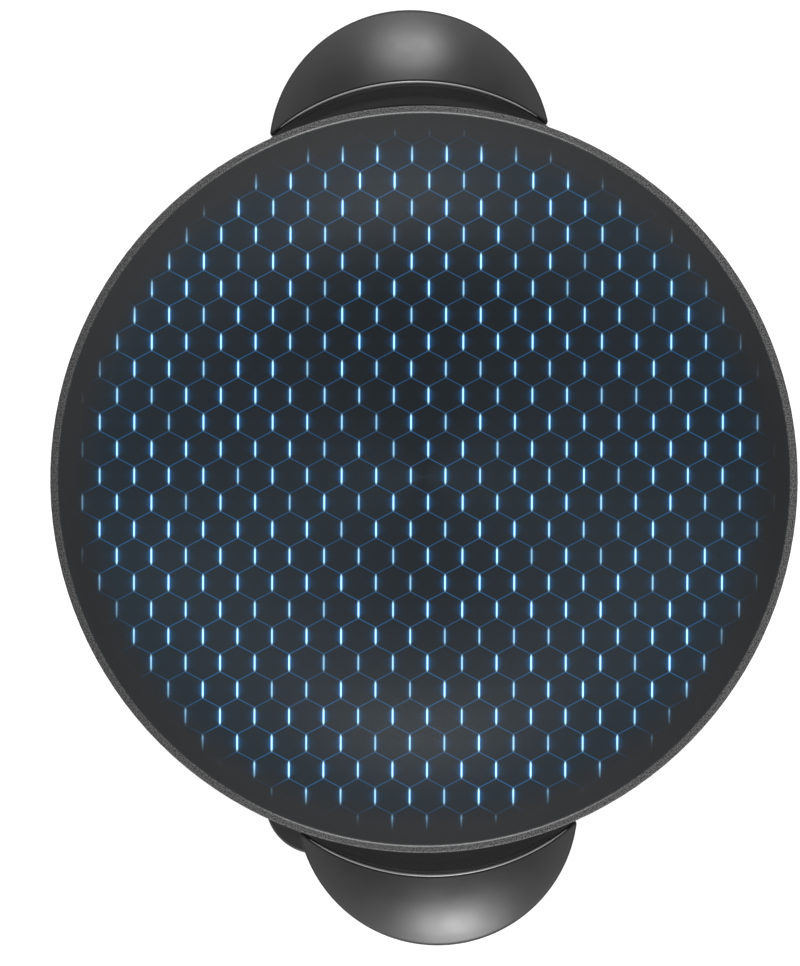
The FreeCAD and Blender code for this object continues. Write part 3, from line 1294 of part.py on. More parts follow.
def cam_follower():
    """Pin with a domed head that rides on the cam and closes the switch."""
    head_end = FOLLOWER_TIP - FOLLOWER_HEAD_LENGTH
    pin = rod(FOLLOWER_RADIUS, (FOLLOWER_END, 0, CAM_HEIGHT), (head_end + CUT / 2, 0, CAM_HEIGHT))
    dome = Part.makeSphere(FOLLOWER_HEAD_RADIUS, Vector(FOLLOWER_TIP - FOLLOWER_HEAD_RADIUS, 0, CAM_HEIGHT))
    head_limit = rod(FOLLOWER_HEAD_RADIUS, (head_end, 0, CAM_HEIGHT), (FOLLOWER_TIP + CUT, 0, CAM_HEIGHT))
    head = dome.common(head_limit)
    return on_probe(joined([pin, head]))


# ---------------------------------------------------------------- dial
def shaft_blank(z0, z1):
    """Shaft with a flat, on the Z axis."""
    flat_face = SHAFT_RADIUS - SHAFT_FLAT_DEPTH
    flat = box(flat_face, SHAFT_RADIUS + CUT, -SHAFT_RADIUS, SHAFT_RADIUS, KNOB_HUB_BOTTOM, KNOB_TOP + CUT)
    return post(SHAFT_RADIUS, 0, 0, z0, z1).cut(flat)


def dial_shaft():
    """Shaft that carries the knob above the housing and the cam inside it."""
    return on_probe(placed(shaft_blank(SHAFT_END, KNOB_TOP - KNOB_ROOF), POD_REACH))


def shaft_bush():
    """Flanged bush in the pod's top that the shaft turns in."""
    flange = post(BUSH_FLANGE_RADIUS, POD_REACH, 0, BUSH_FLANGE_BOTTOM, BUSH_FLANGE_TOP)
    sleeve = post(BUSH_SLEEVE_RADIUS, POD_REACH, 0, BUSH_FLANGE_BOTTOM, POD_TOP + BUSH_SLEEVE_STAND)
    hole = post(SHAFT_RADIUS + RUNNING_CLEARANCE, POD_REACH, 0, BUSH_FLANGE_BOTTOM - CUT, KNOB_TOP)
    return on_probe(joined([flange, sleeve]).cut(hole))


def dial_clip():
    """Retaining clip on the shaft under the bush."""
    top = BUSH_FLANGE_BOTTOM - SENSOR_CLEARANCE
    ring = tube(CLIP_RADIUS, SHAFT_RADIUS, (0, 0, top - CLIP_THICKNESS), (0, 0, top))
    mouth = box(0, CLIP_RADIUS + CUT, -CLIP_MOUTH / 2, CLIP_MOUTH / 2, top - 2 * CLIP_THICKNESS, top + CUT)
    return on_probe(placed(ring.cut(mouth), POD_REACH))


def dial_knob():
    """Hollow knob: flat skirt for the numbers, fluted cap and a raised pointer."""
    skirt_top = KNOB_BOTTOM + KNOB_SKIRT_HEIGHT
    skirt = post(KNOB_SKIRT_RADIUS, 0, 0, KNOB_BOTTOM, skirt_top)
    skirt = skirt.makeFillet(KNOB_BEVEL, [e for e in skirt.Edges if e.BoundBox.ZMin > skirt_top - NEAR])
    cap = post(KNOB_CAP_RADIUS, 0, 0, KNOB_BOTTOM, KNOB_TOP)
    cap = cap.makeFillet(KNOB_BEVEL, [e for e in cap.Edges if e.BoundBox.ZMin > KNOB_TOP - NEAR])
    flute_places = round_places(KNOB_FLUTES, KNOB_CAP_RADIUS + KNOB_FLUTE_RADIUS / 2, 180.0 / KNOB_FLUTES)
    flutes = [post(KNOB_FLUTE_RADIUS, x, y, skirt_top, KNOB_TOP + CUT) for x, y in flute_places]
    pointer = box(
        KNOB_HUB_RADIUS,
        KNOB_CAP_RADIUS - KNOB_BEVEL,
        -KNOB_POINTER_WIDTH / 2,
        KNOB_POINTER_WIDTH / 2,
        KNOB_TOP - CUT,
        KNOB_TOP + KNOB_POINTER_HEIGHT,
    )
    below = KNOB_BOTTOM - CUT
    roof = KNOB_TOP - KNOB_ROOF
    cavity_radius = KNOB_CAP_RADIUS - KNOB_WALL
    cavity = tube(cavity_radius, KNOB_HUB_RADIUS, (0, 0, below), (0, 0, roof))
    under_hub = post(cavity_radius, 0, 0, below, KNOB_HUB_BOTTOM)
    pointer.rotate(Vector(0, 0, 0), Vector(0, 0, 1), KNOB_POINTER_START)
    body = joined([skirt, cap.cut(flutes), pointer]).cut([cavity, under_hub])
    return on_probe(placed(body.cut(shaft_blank(SHAFT_END, roof)), POD_REACH))


# ---------------------------------------------------------------- trigger
def across(radius, y0, y1):
    """Rod on the trigger's pivot axis, between two distances to the side."""
    return rod(radius, (TRIGGER_PIVOT_X, y0, TRIGGER_PIVOT_Z), (TRIGGER_PIVOT_X, y1, TRIGGER_PIVOT_Z))


def trigger_pin_body():
    """Pivot pin of the trigger."""
    return across(TRIGGER_PIN_RADIUS, -EAR_OUTER, EAR_OUTER)


def trigger_pin():
    """Pivot pin of the trigger, in its place."""
    return on_probe(trigger_pin_body())


def trigger_lever():
    """Bell crank: a finger arm under the housing and a short toe that pushes on the guard."""
    half = TRIGGER_HALF_WIDTH
    arm_end = TRIGGER_PIVOT_X + TRIGGER_LENGTH
    hub = across(TRIGGER_HUB_RADIUS, -half, half)
    arm = box(TRIGGER_PIVOT_X, arm_end, -half, half, TRIGGER_ARM_BOTTOM, TRIGGER_ARM_TOP)
    pad = box(
        arm_end - TRIGGER_PAD_LENGTH,
        arm_end,
        -TRIGGER_PAD_HALF_WIDTH,
        TRIGGER_PAD_HALF_WIDTH,
        TRIGGER_ARM_BOTTOM,
        TRIGGER_ARM_TOP,
    )
    corners = [e for e in pad.Edges if e.BoundBox.ZLength > TRIGGER_THICKNESS / 2]
    pad = pad.makeFillet(TRIGGER_THICKNESS, corners)
    toe_front = GUARD_MOUTH + TRIGGER_TIP_GAP
    toe_top = HOUSING_BOTTOM - TRIGGER_TIP_CLEARANCE
    toe = side_prism(
        [
            (toe_front, toe_top),
            (toe_front, toe_top - TRIGGER_TIP_HEIGHT),
            (TRIGGER_PIVOT_X - TRIGGER_HUB_RADIUS, TRIGGER_PIVOT_Z),
            (TRIGGER_PIVOT_X, TRIGGER_PIVOT_Z + TRIGGER_HUB_RADIUS),
        ],
        half,
    )
    hole = across(TRIGGER_PIN_RADIUS + RUNNING_CLEARANCE, -half - CUT, half + CUT)
    return on_probe(joined([hub, arm, pad, toe]).cut(hole))


def trigger_spring():
    """Small coil spring between the housing and the trigger's arm."""
    height = HOUSING_BOTTOM - TRIGGER_ARM_TOP - 2 * SPRING_WIRE
    path = Part.makeHelix(height / SPRING_TURNS, height, SPRING_RADIUS)
    section = Part.Wire([Part.Circle(Vector(SPRING_RADIUS, 0, 0), Vector(0, 1, 0), SPRING_WIRE).toShape()])
    coil = Part.Wire(path.Edges).makePipeShell([section], True, True)
    return on_probe(placed(coil, TRIGGER_PIVOT_X + SPRING_REACH, 0, TRIGGER_ARM_TOP + SPRING_WIRE))


# ---------------------------------------------------------------- all nodes
def nodes():
    """Every sub-part by the name of its node."""
    cover = handle_cover()
    grip = handle_grip()
    screws = handle_screws()
    shapes = {
        "pan": pan(),
        "heating_element": on_probe(heating_element()),
        "element_terminals": element_terminals(),
        "terminal_insulators": terminal_insulators(),
        "terminal_guard": terminal_guard(),
        "guard_screws": guard_screws(),
        "heat_shield": heat_shield(),
        "pan_spacers": pan_spacers(),
        "pan_screws": pan_screws(),
        "base_shell": base_shell(),
        "foot_screws": foot_screws(),
        "rear_handle_cover": cover,
        "rear_handle_grip": grip,
        "rear_handle_screws": screws,
        "front_handle_cover": turned_to_front(cover),
        "front_handle_grip": turned_to_front(grip),
        "front_handle_screws": turned_to_front(screws),
        "probe_upper_cover": probe_upper_cover(),
        "probe_lower_cover": probe_lower_cover(),
        "probe_screws": probe_screws(),
        "probe_nose": probe_nose(),
        "contact_sockets": contact_sockets(),
        "sensor_rod": sensor_rod(),
        "push_rod": push_rod(),
        "terminal_block": terminal_block(),
        "cord_gland": cord_gland(),
        "indicator_lens": indicator_lens(),
        "neon_lamp": neon_lamp(),
        "thermostat_frame": thermostat_frame(),
        "moving_leaf": moving_leaf(),
        "fixed_leaf": fixed_leaf(),
        "contact_points": contact_points(),
        "insulator_stack": insulator_stack(),
        "shaft_bush": shaft_bush(),
        "dial_knob": dial_knob(),
        "dial_shaft": dial_shaft(),
        "dial_cam": dial_cam(),
        "dial_clip": dial_clip(),
        "cam_follower": cam_follower(),
        "trigger_lever": trigger_lever(),
        "trigger_pin": trigger_pin(),
        "trigger_spring": trigger_spring(),
    }
    for place, (x, y) in zip(("rear_right", "rear_left", "front_left", "front_right"), foot_places()):
        shapes["foot_" + place] = foot(x, y)
    return shapes


os.makedirs("parts", exist_ok=True)
for name, shape in nodes().items():
    print(f"{name:22s} solids {len(shape.Solids)}  valid {shape.isValid()}  volume {shape.Volume:.1f} mm3")
    shape.exportStep(f"parts/{name}.step")
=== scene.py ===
import json
import math

import bmesh
import bpy
from mathutils import Matrix, Vector

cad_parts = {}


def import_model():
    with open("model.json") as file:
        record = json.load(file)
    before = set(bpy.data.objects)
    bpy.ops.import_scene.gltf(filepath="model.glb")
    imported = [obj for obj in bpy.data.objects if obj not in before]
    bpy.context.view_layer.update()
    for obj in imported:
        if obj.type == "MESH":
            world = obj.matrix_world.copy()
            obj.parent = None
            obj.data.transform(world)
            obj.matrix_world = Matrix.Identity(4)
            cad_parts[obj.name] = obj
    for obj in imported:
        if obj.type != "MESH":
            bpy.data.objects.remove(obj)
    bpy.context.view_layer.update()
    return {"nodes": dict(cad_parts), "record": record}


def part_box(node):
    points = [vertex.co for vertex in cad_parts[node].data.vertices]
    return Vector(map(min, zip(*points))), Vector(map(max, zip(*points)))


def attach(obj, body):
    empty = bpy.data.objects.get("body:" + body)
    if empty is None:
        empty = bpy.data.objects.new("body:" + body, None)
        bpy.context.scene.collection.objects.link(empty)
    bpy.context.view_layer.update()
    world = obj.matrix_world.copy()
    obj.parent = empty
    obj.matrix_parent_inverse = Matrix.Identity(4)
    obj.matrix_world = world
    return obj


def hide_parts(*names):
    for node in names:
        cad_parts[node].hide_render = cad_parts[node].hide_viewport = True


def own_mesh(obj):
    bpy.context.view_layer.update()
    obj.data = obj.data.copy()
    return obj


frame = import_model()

# Electric wok seen from straight above, on a plain white floor. The frame's own solids carry the
# shapes. This script gives each of them its material, draws the coil of the trigger's spring, and
# adds the trim of the handles and the dial's scale. Lengths are in metres, +Z is up.

MM = 0.001

# ---------------------------------------------------------------- places taken from the frame
PAN_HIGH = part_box("pan")[1]
RIM_RADIUS = PAN_HIGH.x
RIM_HEIGHT = PAN_HIGH.z
RIM_BAND = 3.8 * MM
BOWL_EDGE = RIM_RADIUS - RIM_BAND
BOWL_DEPTH = 98 * MM
BOWL_FLAT = 55 * MM
BOWL_RADIUS = ((BOWL_EDGE - BOWL_FLAT) ** 2 + BOWL_DEPTH**2) / (2 * BOWL_DEPTH)
BOWL_FLOOR = RIM_HEIGHT - BOWL_DEPTH

HANDLE_LOW, HANDLE_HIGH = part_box("rear_handle_cover")
HANDLE_RADIUS = 73.2 * MM
HANDLE_AXIS = HANDLE_HIGH.y - HANDLE_RADIUS
HANDLE_WALL = 7.8 * MM  # straight side of a handle's cover, below its crown
CROWN_SAG = 27.2 * MM
CROWN_EDGE = HANDLE_LOW.z + HANDLE_WALL
CROWN_RADIUS = (HANDLE_RADIUS**2 + CROWN_SAG**2) / (2 * CROWN_SAG)
CROWN_CENTRE = CROWN_EDGE + CROWN_SAG - CROWN_RADIUS
SHOULDER_ROUND = 5.0 * MM
SHOULDER_RADIUS = HANDLE_RADIUS - SHOULDER_ROUND
SHOULDER_RISE = math.sqrt((CROWN_RADIUS - SHOULDER_ROUND) ** 2 - SHOULDER_RADIUS**2)
SHOULDER_HEIGHT = CROWN_CENTRE + SHOULDER_RISE
RIDGE_RADIUS = 128 * MM
RIDGE_STAND = 12.2 * MM  # from the rim to the ridge, on the handle's middle line
RIDGE_HALF_WIDTH = 66 * MM
RIDGE_AXIS = RIM_RADIUS + RIDGE_STAND - RIDGE_RADIUS
RIDGE_HALF_ANGLE = math.asin(RIDGE_HALF_WIDTH / RIDGE_RADIUS)

DIAL_LOW, DIAL_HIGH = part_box("dial_knob")
POD_CENTRE = (DIAL_LOW + DIAL_HIGH) / 2
POD_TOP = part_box("probe_upper_cover")[1].z
OUTWARDS = math.atan2(POD_CENTRE.y, POD_CENTRE.x)

# ---------------------------------------------------------------- view
IMAGE_WIDTH = 800
IMAGE_HEIGHT = 966
PIXEL = 0.5078 * MM  # size of a pixel of the photograph in the rim's plane
RIM_CENTRE_PIXEL = (423.6, 480.0)
CAMERA_TURN = math.radians(-2.4)
CAMERA_DISTANCE = 1.5
CAMERA_OFFSET = 24 * MM  # how far the camera stands behind the pan's axis
SENSOR = 36.0
IMAGE_RIGHT = Vector((math.cos(CAMERA_TURN), math.sin(CAMERA_TURN), 0))
IMAGE_UP = Vector((-math.sin(CAMERA_TURN), math.cos(CAMERA_TURN), 0))

# ---------------------------------------------------------------- light
WORLD_LEVEL = 0.65
WORLD_WHITE = 1.0
FLOOR_PAPER = 0.80
FLOOR_STAIN = 0.78
FLOOR_GLOW = 0.46
FLOOR_SIZE = 30.0
FLOOR_DROP = 0.05 * MM  # the floor lies just below the feet
FLAG_LEVEL = 0.46  # the dim panel over the camera, which only reflections see
FLAG_SIZE = 9.0
FLAG_HEIGHT = 2.2
LAMP_DISTANCE = 1.5


# ---------------------------------------------------------------- material building
class Recipe:
    """A material's node tree around one Principled shader."""

    def __init__(self, name, colour, **sockets):
        self.material = bpy.data.materials.new(name)
        self.material.use_nodes = True
        self.tree = self.material.node_tree
        self.shader = self.tree.nodes["Principled BSDF"]
        self.set("Base Color", colour)
        for socket, value in sockets.items():
            self.set(socket.replace("_", " ").title().replace("Ior", "IOR"), value)

    def put(self, socket, value):
        """Link a socket, or set its plain value; a number in a colour socket becomes a grey."""
        if isinstance(value, bpy.types.NodeSocket):
            self.tree.links.new(value, socket)
        elif socket.type == "RGBA":
            grey = isinstance(value, (int, float))
            socket.default_value = (value, value, value, 1) if grey else (*value[:3], 1)
        else:
            socket.default_value = value

    def set(self, name, value):
        self.put(self.shader.inputs[name], value)

    def node(self, kind, inputs=(), **settings):
        """New node, with its settings and its inputs by name or number."""
        made = self.tree.nodes.new("ShaderNode" + kind)
        for key, value in settings.items():
            setattr(made, key, value)
        for key, value in dict(inputs).items():
            self.put(made.inputs[key], value)
        return made

    def place(self):
        """Point on the surface in the object's own frame, which is the part's frame."""
        return self.node("TexCoord").outputs["Object"]

    def maths(self, operation, *values):
        return self.node("Math", enumerate(values), operation=operation).outputs[0]

    def vector(self, operation, *values, output="Vector"):
        return self.node("VectorMath", enumerate(values), operation=operation).outputs[output]

    def length(self, vector):
        return self.vector("LENGTH", vector, output="Value")

    def dot(self, first, second):
        return self.vector("DOT_PRODUCT", first, second, output="Value")

    def product(self, *values):
        result = values[0]
        for value in values[1:]:
            result = self.maths("MULTIPLY", result, value)
        return result

    def falloff(self, distance, rate):
        """1 where the distance is 0, fading exponentially away from it."""
        return self.maths("EXPONENT", self.product(distance, -rate))

    def split(self, vector):
        made = self.node("SeparateXYZ", {"Vector": vector})
        return made.outputs["X"], made.outputs["Y"], made.outputs["Z"]

    def join(self, x, y, z=0.0):
        return self.node("CombineXYZ", {"X": x, "Y": y, "Z": z}).outputs["Vector"]

    def grey(self, value):
        return self.join(value, value, value)

    def noise(self, scale, detail=3.0, rough=0.55, where=None):
        """Fractal noise from 0 to 1, with a grain of about 1 / scale metres."""
        spot = where or self.place()
        inputs = {"Scale": scale, "Detail": detail, "Roughness": rough, "Vector": spot}
        return self.node("TexNoise", inputs).outputs[0]

    def cells(self, scale):
        """Distance to the nearest of scattered points, about 1 / scale metres apart."""
        return self.node("TexVoronoi", {"Scale": scale, "Vector": self.place()}).outputs["Distance"]

    def ramp(self, value, low, high, out_low=0.0, out_high=1.0, smooth=False):
        """Value mapped from low..high to out_low..out_high and held there beyond."""
        inputs = {"Value": value, "From Min": low, "From Max": high}
        inputs |= {"To Min": out_low, "To Max": out_high}
        kind = "SMOOTHSTEP" if smooth else "LINEAR"
        return self.node("MapRange", inputs, interpolation_type=kind).outputs["Result"]

    def band(self, value, low, high, soft):
        """1 between low and high, 0 beyond, with soft edges."""
        rise = self.ramp(value, low - soft, low + soft, smooth=True)
        fall = self.ramp(value, high - soft, high + soft, 1.0, 0.0, smooth=True)
        return self.product(rise, fall)

    def mix(self, share, first, second):
        made = self.node("Mix", data_type="RGBA")
        self.put(made.inputs["Factor"], share)
        self.put(made.inputs[6], first)
        self.put(made.inputs[7], second)
        return made.outputs[2]

    def scaled(self, colour, factor):
        """Plain colour, brighter or darker by a factor that varies."""
        made = self.node("VectorMath", {0: colour, "Scale": factor}, operation="SCALE")
        return made.outputs["Vector"]

    def bump(self, height, depth, strength=1.0):
        """Surface relief of this depth in metres, on top of any relief already there."""
        made = self.node("Bump", {"Height": height, "Distance": depth, "Strength": strength})
        normal = self.shader.inputs["Normal"]
        if normal.is_linked:
            self.put(made.inputs["Normal"], normal.links[0].from_socket)
        self.put(normal, made.outputs["Normal"])


# ---------------------------------------------------------------- plastic and metal
BLACK = (0.0095, 0.0095, 0.0098)
HANDLE_ROUGHNESS = 0.38
HANDLE_GRAIN = 2600
RECESS_ROUGHNESS = 0.95


def moulded_look(m, colour, grain, roughness):
    """Moulded plastic with cloudy gloss and light rubs. Gives its colour, roughness and fine grain."""
    cloud = m.noise(35, 4)
    fine = m.noise(grain, 2)
    rub = m.ramp(m.noise(140, 6, 0.7), 0.62, 0.78)
    shade = m.ramp(cloud, 0.3, 0.7, 0.86, 1.16)
    rubbed = [c * 2.2 + 0.004 for c in colour]
    tone = m.mix(m.product(rub, 0.35), m.scaled(colour, shade), rubbed)
    rough = m.ramp(cloud, 0.3, 0.7, roughness - 0.04, roughness + 0.05)
    rough = m.maths("ADD", rough, m.product(m.maths("SUBTRACT", fine, 0.5), 0.10))
    return tone, rough, fine


def moulded(name, colour, grain, roughness, relief):
    m = Recipe(name, colour, roughness=roughness)
    tone, rough, fine = moulded_look(m, colour, grain, roughness)
    m.set("Base Color", tone)
    m.set("Roughness", rough)
    m.bump(fine, relief)
    return m.material


def recess_tone(m, from_axis, y):
    """Grey of the recess's floor, lifted as painted light against its shade: lighter still at the foot of
    the ridge's wall, and painted darker beside the rear rim.
    """
    # Grain of the floor, set well above the handle's black as painted light lifting the recess's shade.
    pebble = m.ramp(m.noise(1500, 3), 0.35, 0.65, 0.036, 0.052)
    # Painted light at the foot and face of the ridge's wall, against the wall's shadow.
    painted_light_at_foot = m.ramp(from_axis, RIDGE_RADIUS - 4.5 * MM, RIDGE_RADIUS - MM, 1.0, 1.8)
    painted_light_at_wall = m.ramp(from_axis, RIDGE_RADIUS - 0.9 * MM, RIDGE_RADIUS - 0.1 * MM, 1.0, 2.6)
    # Painted shade beside the rear rim; in_front keeps it off the front handle.
    painted_shade_at_rim = m.ramp(from_axis, RIDGE_RADIUS - 9.5 * MM, RIDGE_RADIUS - 5.0 * MM, 0.48, 0.86)
    in_front = m.ramp(y, -MM, MM, 0.86, 0.0)
    return m.product(pebble, painted_light_at_foot, painted_light_at_wall, m.maths("MAXIMUM", painted_shade_at_rim, in_front))


def handle_material():
    """Satin crown, a duller shoulder below it, and a matt textured floor in the recess, painted lighter
    against its shade.
    """
    m = Recipe("handle_phenolic", BLACK, roughness=HANDLE_ROUGHNESS)
    tone, rough, fine = moulded_look(m, BLACK, HANDLE_GRAIN, HANDLE_ROUGHNESS)
    x, y, z = m.split(m.place())
    dull_below = SHOULDER_HEIGHT + 0.5 * SHOULDER_ROUND
    satin_above = SHOULDER_HEIGHT + 0.8 * SHOULDER_ROUND
    shoulder = m.ramp(z, dull_below, satin_above, 1.0, 0.0)
    across = m.maths("SUBTRACT", m.maths("ABSOLUTE", y), RIDGE_AXIS)
    from_axis = m.length(m.join(x, across))
    recess = m.ramp(from_axis, RIDGE_RADIUS + 0.05 * MM, RIDGE_RADIUS + 0.2 * MM, 1.0, 0.0)
    # The recess's floor takes the grey with painted light and shade.
    m.set("Base Color", m.mix(recess, tone, m.grey(recess_tone(m, from_axis, y))))
    m.set("Roughness", m.mix(m.maths("MAXIMUM", shoulder, recess), rough, RECESS_ROUGHNESS))
    m.bump(fine, 0.02 * MM)
    return m.material


def metal(name, colour, roughness, brushed=(1.0, 1.0, 1.0), grain=900, relief=0.02 * MM, bare=1.0):
    """Metal with patchy gloss and fine lines along the axis whose factor is small.

    Bare metal has bare at 1, and metal under a dark finish has less.
    """
    m = Recipe(name, colour, metallic=bare, roughness=roughness)
    lines = m.noise(grain, 2, where=m.vector("MULTIPLY", m.place(), brushed))
    patch = m.noise(60, 4)
    dull = m.product(m.ramp(patch, 0.35, 0.75), 0.4)
    m.set("Base Color", m.mix(dull, colour, [c * 0.62 for c in colour]))
    by_line = m.ramp(lines, 0.3, 0.7, -0.06, 0.08)
    by_patch = m.ramp(patch, 0.3, 0.7, -0.04, 0.06)
    m.set("Roughness", m.maths("ADD", m.maths("ADD", by_line, by_patch), roughness))
    m.bump(lines, relief)
    return m.material


# ---------------------------------------------------------------- pan
HEX_WIDTH = 17.575 * MM  # across the upright sides of a cell, at the rim's height
HEX_SQUEEZE = 0.8933  # height of a cell against that of a regular hexagon
HEX_LEAN = 0.0038  # sideways step of the columns of cells for each step up
HEX_PHASE = (0.8689, -0.1362)  # place of the pattern, in cell widths
HEX_ROW = math.sqrt(3) / 2  # distance between rows of cells, in cell widths
HATCH_ALONG = (-0.57, 0.82, 0.0)
HATCH_PITCH = 130.0  # radians of the fine strokes' wave in a cell width
GLOW_INNER = 162 * MM
GLOW_OUTER = 181 * MM

COAT = (0.0370, 0.0368, 0.0364)
COAT_SPECK = (0.085, 0.085, 0.084)
# The blue of the coat and of the slanted lines and the bars' lit colour are painted glow in the base
# colour; the shine and haze below are painted glow by emission.
COAT_GLOW_BLUE = (0.028, 0.0415, 0.0545)
LINE_GLOW_BLUE = (0.025, 0.070, 0.130)
BAR_DIM = (0.09, 0.09, 0.10)
BAR_LIT = (0.25, 0.40, 0.46)
RIM_OUTER = (0.03, 0.03, 0.03)
BAR_SHINE = (0.56, 0.95, 1.06)
BAR_HAZE = (0.008, 0.220, 0.600)
LINE_SHINE = (0.010, 0.070, 0.185)


def seen_flat(m, place):
    """Point of the bowl carried into the rim's plane, along the line to one fixed spot above it.

    The spot is fixed to the part, so the pattern stays where it is in every view.
    """
    z = m.split(place)[2]
    shrink = m.maths("DIVIDE", CAMERA_DISTANCE, m.maths("SUBTRACT", CAMERA_DISTANCE + RIM_HEIGHT, z))
    leaning = tuple(IMAGE_RIGHT - IMAGE_UP * HEX_LEAN)
    right = m.product(m.dot(place, leaning), shrink)
    up = m.maths("SUBTRACT", m.dot(place, tuple(IMAGE_UP)), CAMERA_OFFSET)
    return right, m.maths("MULTIPLY_ADD", up, shrink, CAMERA_OFFSET)


def honeycomb(m, right, up):
    """Cells of the coating's pattern, drawn flat across the bowl.

    Gives the distances to a cell's upright and slanted sides, the place of the nearest upright
    side and the place of the point itself, all in cell widths.
    """
    x = m.maths("MULTIPLY_ADD", right, 1 / HEX_WIDTH, HEX_PHASE[0])
    y = m.maths("MULTIPLY_ADD", up, 1 / (HEX_WIDTH * HEX_SQUEEZE), HEX_PHASE[1])
    point = m.join(x, y)
    period = (1.0, 2 * HEX_ROW, 1.0)
    half = (0.5, HEX_ROW, 0.0)
    origin = (0.0, 0.0, 0.0)
    from_even = m.vector("SUBTRACT", m.vector("WRAP", point, period, origin), half)
    shifted = m.vector("WRAP", m.vector("SUBTRACT", point, half), period, origin)
    from_odd = m.vector("SUBTRACT", shifted, half)
    in_even = m.maths("LESS_THAN", m.length(from_even), m.length(from_odd))
    from_middle = m.mix(in_even, from_odd, from_even)
    across, along, _ = m.split(from_middle)
    side = m.maths("ABSOLUTE", across)
    slant = m.maths("ADD", m.product(side, 0.5), m.product(m.maths("ABSOLUTE", along), HEX_ROW))
    middle = m.vector("SUBTRACT", point, from_middle)
    bar = m.vector("ADD", middle, m.join(m.product(m.maths("SIGN", across), 0.5), 0.0))
    return m.maths("SUBTRACT", 0.5, side), m.maths("SUBTRACT", 0.5, slant), bar, point


def inner_face(m, radius, z):
    """1 on the bowl's inner face, 0 on its outer one."""
    out = m.maths("MAXIMUM", m.maths("SUBTRACT", radius, BOWL_FLAT), 0.0)
    up = m.maths("SUBTRACT", z, BOWL_FLOOR + BOWL_RADIUS)
    depth = m.maths("SUBTRACT", m.length(m.join(out, up)), BOWL_RADIUS)
    return m.ramp(depth, 0.3 * MM, 0.6 * MM, 1.0, 0.0)


def glow_level(m, bar, fade):
    """Strength of the glow, which differs from bar to bar and is a little patchy.

    A bar's place is first moved off the steps that it snaps to, so that it stays one value.
    """
    fixed = m.vector("SNAP", m.vector("ADD", bar, (0.1, 0.1, 0.0)), (0.5, HEX_ROW, 1.0))
    chance = m.node("TexWhiteNoise", {"Vector": fixed}, noise_dimensions="3D").outputs["Value"]
    power = m.maths("MINIMUM", m.maths("MULTIPLY_ADD", chance, 0.9, 0.55), 1.0)
    patchy = m.ramp(m.noise(16, 2), 0.35, 0.50, 0.85, 1.0)
    return m.maths("MINIMUM", m.product(power, fade, patchy), 1.0)


def rim_look(m, radius, x, frontal):
    """Speckled top of the rim, painted darker towards the left as painted shade, with a painted glint
    along its inner edge that is brightest at the front and back. Gives its colour, and where its polished
    inner edge is.
    """
    speckle_and_painted_shade = m.ramp(m.noise(1700, 2, 0.6), 0.40, 0.60, 0.012, 0.172)
    # Painted shade: the speckle is darker towards the left side.
    speckle_and_painted_shade = m.product(speckle_and_painted_shade, m.ramp(x, -RIM_RADIUS, -0.3 * RIM_RADIUS, 0.72, 1.0))
    edge = m.band(radius, BOWL_EDGE, BOWL_EDGE + 0.55 * MM, 0.12 * MM)
    # Painted glint on the inner edge, brightest at the front and back.
    painted_glint = m.maths("ADD", m.product(speckle_and_painted_shade, 0.9), m.ramp(frontal, 0.84, 0.96, 0.02, 0.22))
    tone = m.mix(edge, m.grey(speckle_and_painted_shade), m.grey(painted_glint))
    outer = m.ramp(radius, RIM_RADIUS - 0.8 * MM, RIM_RADIUS, smooth=True)
    return m.mix(outer, tone, RIM_OUTER), edge


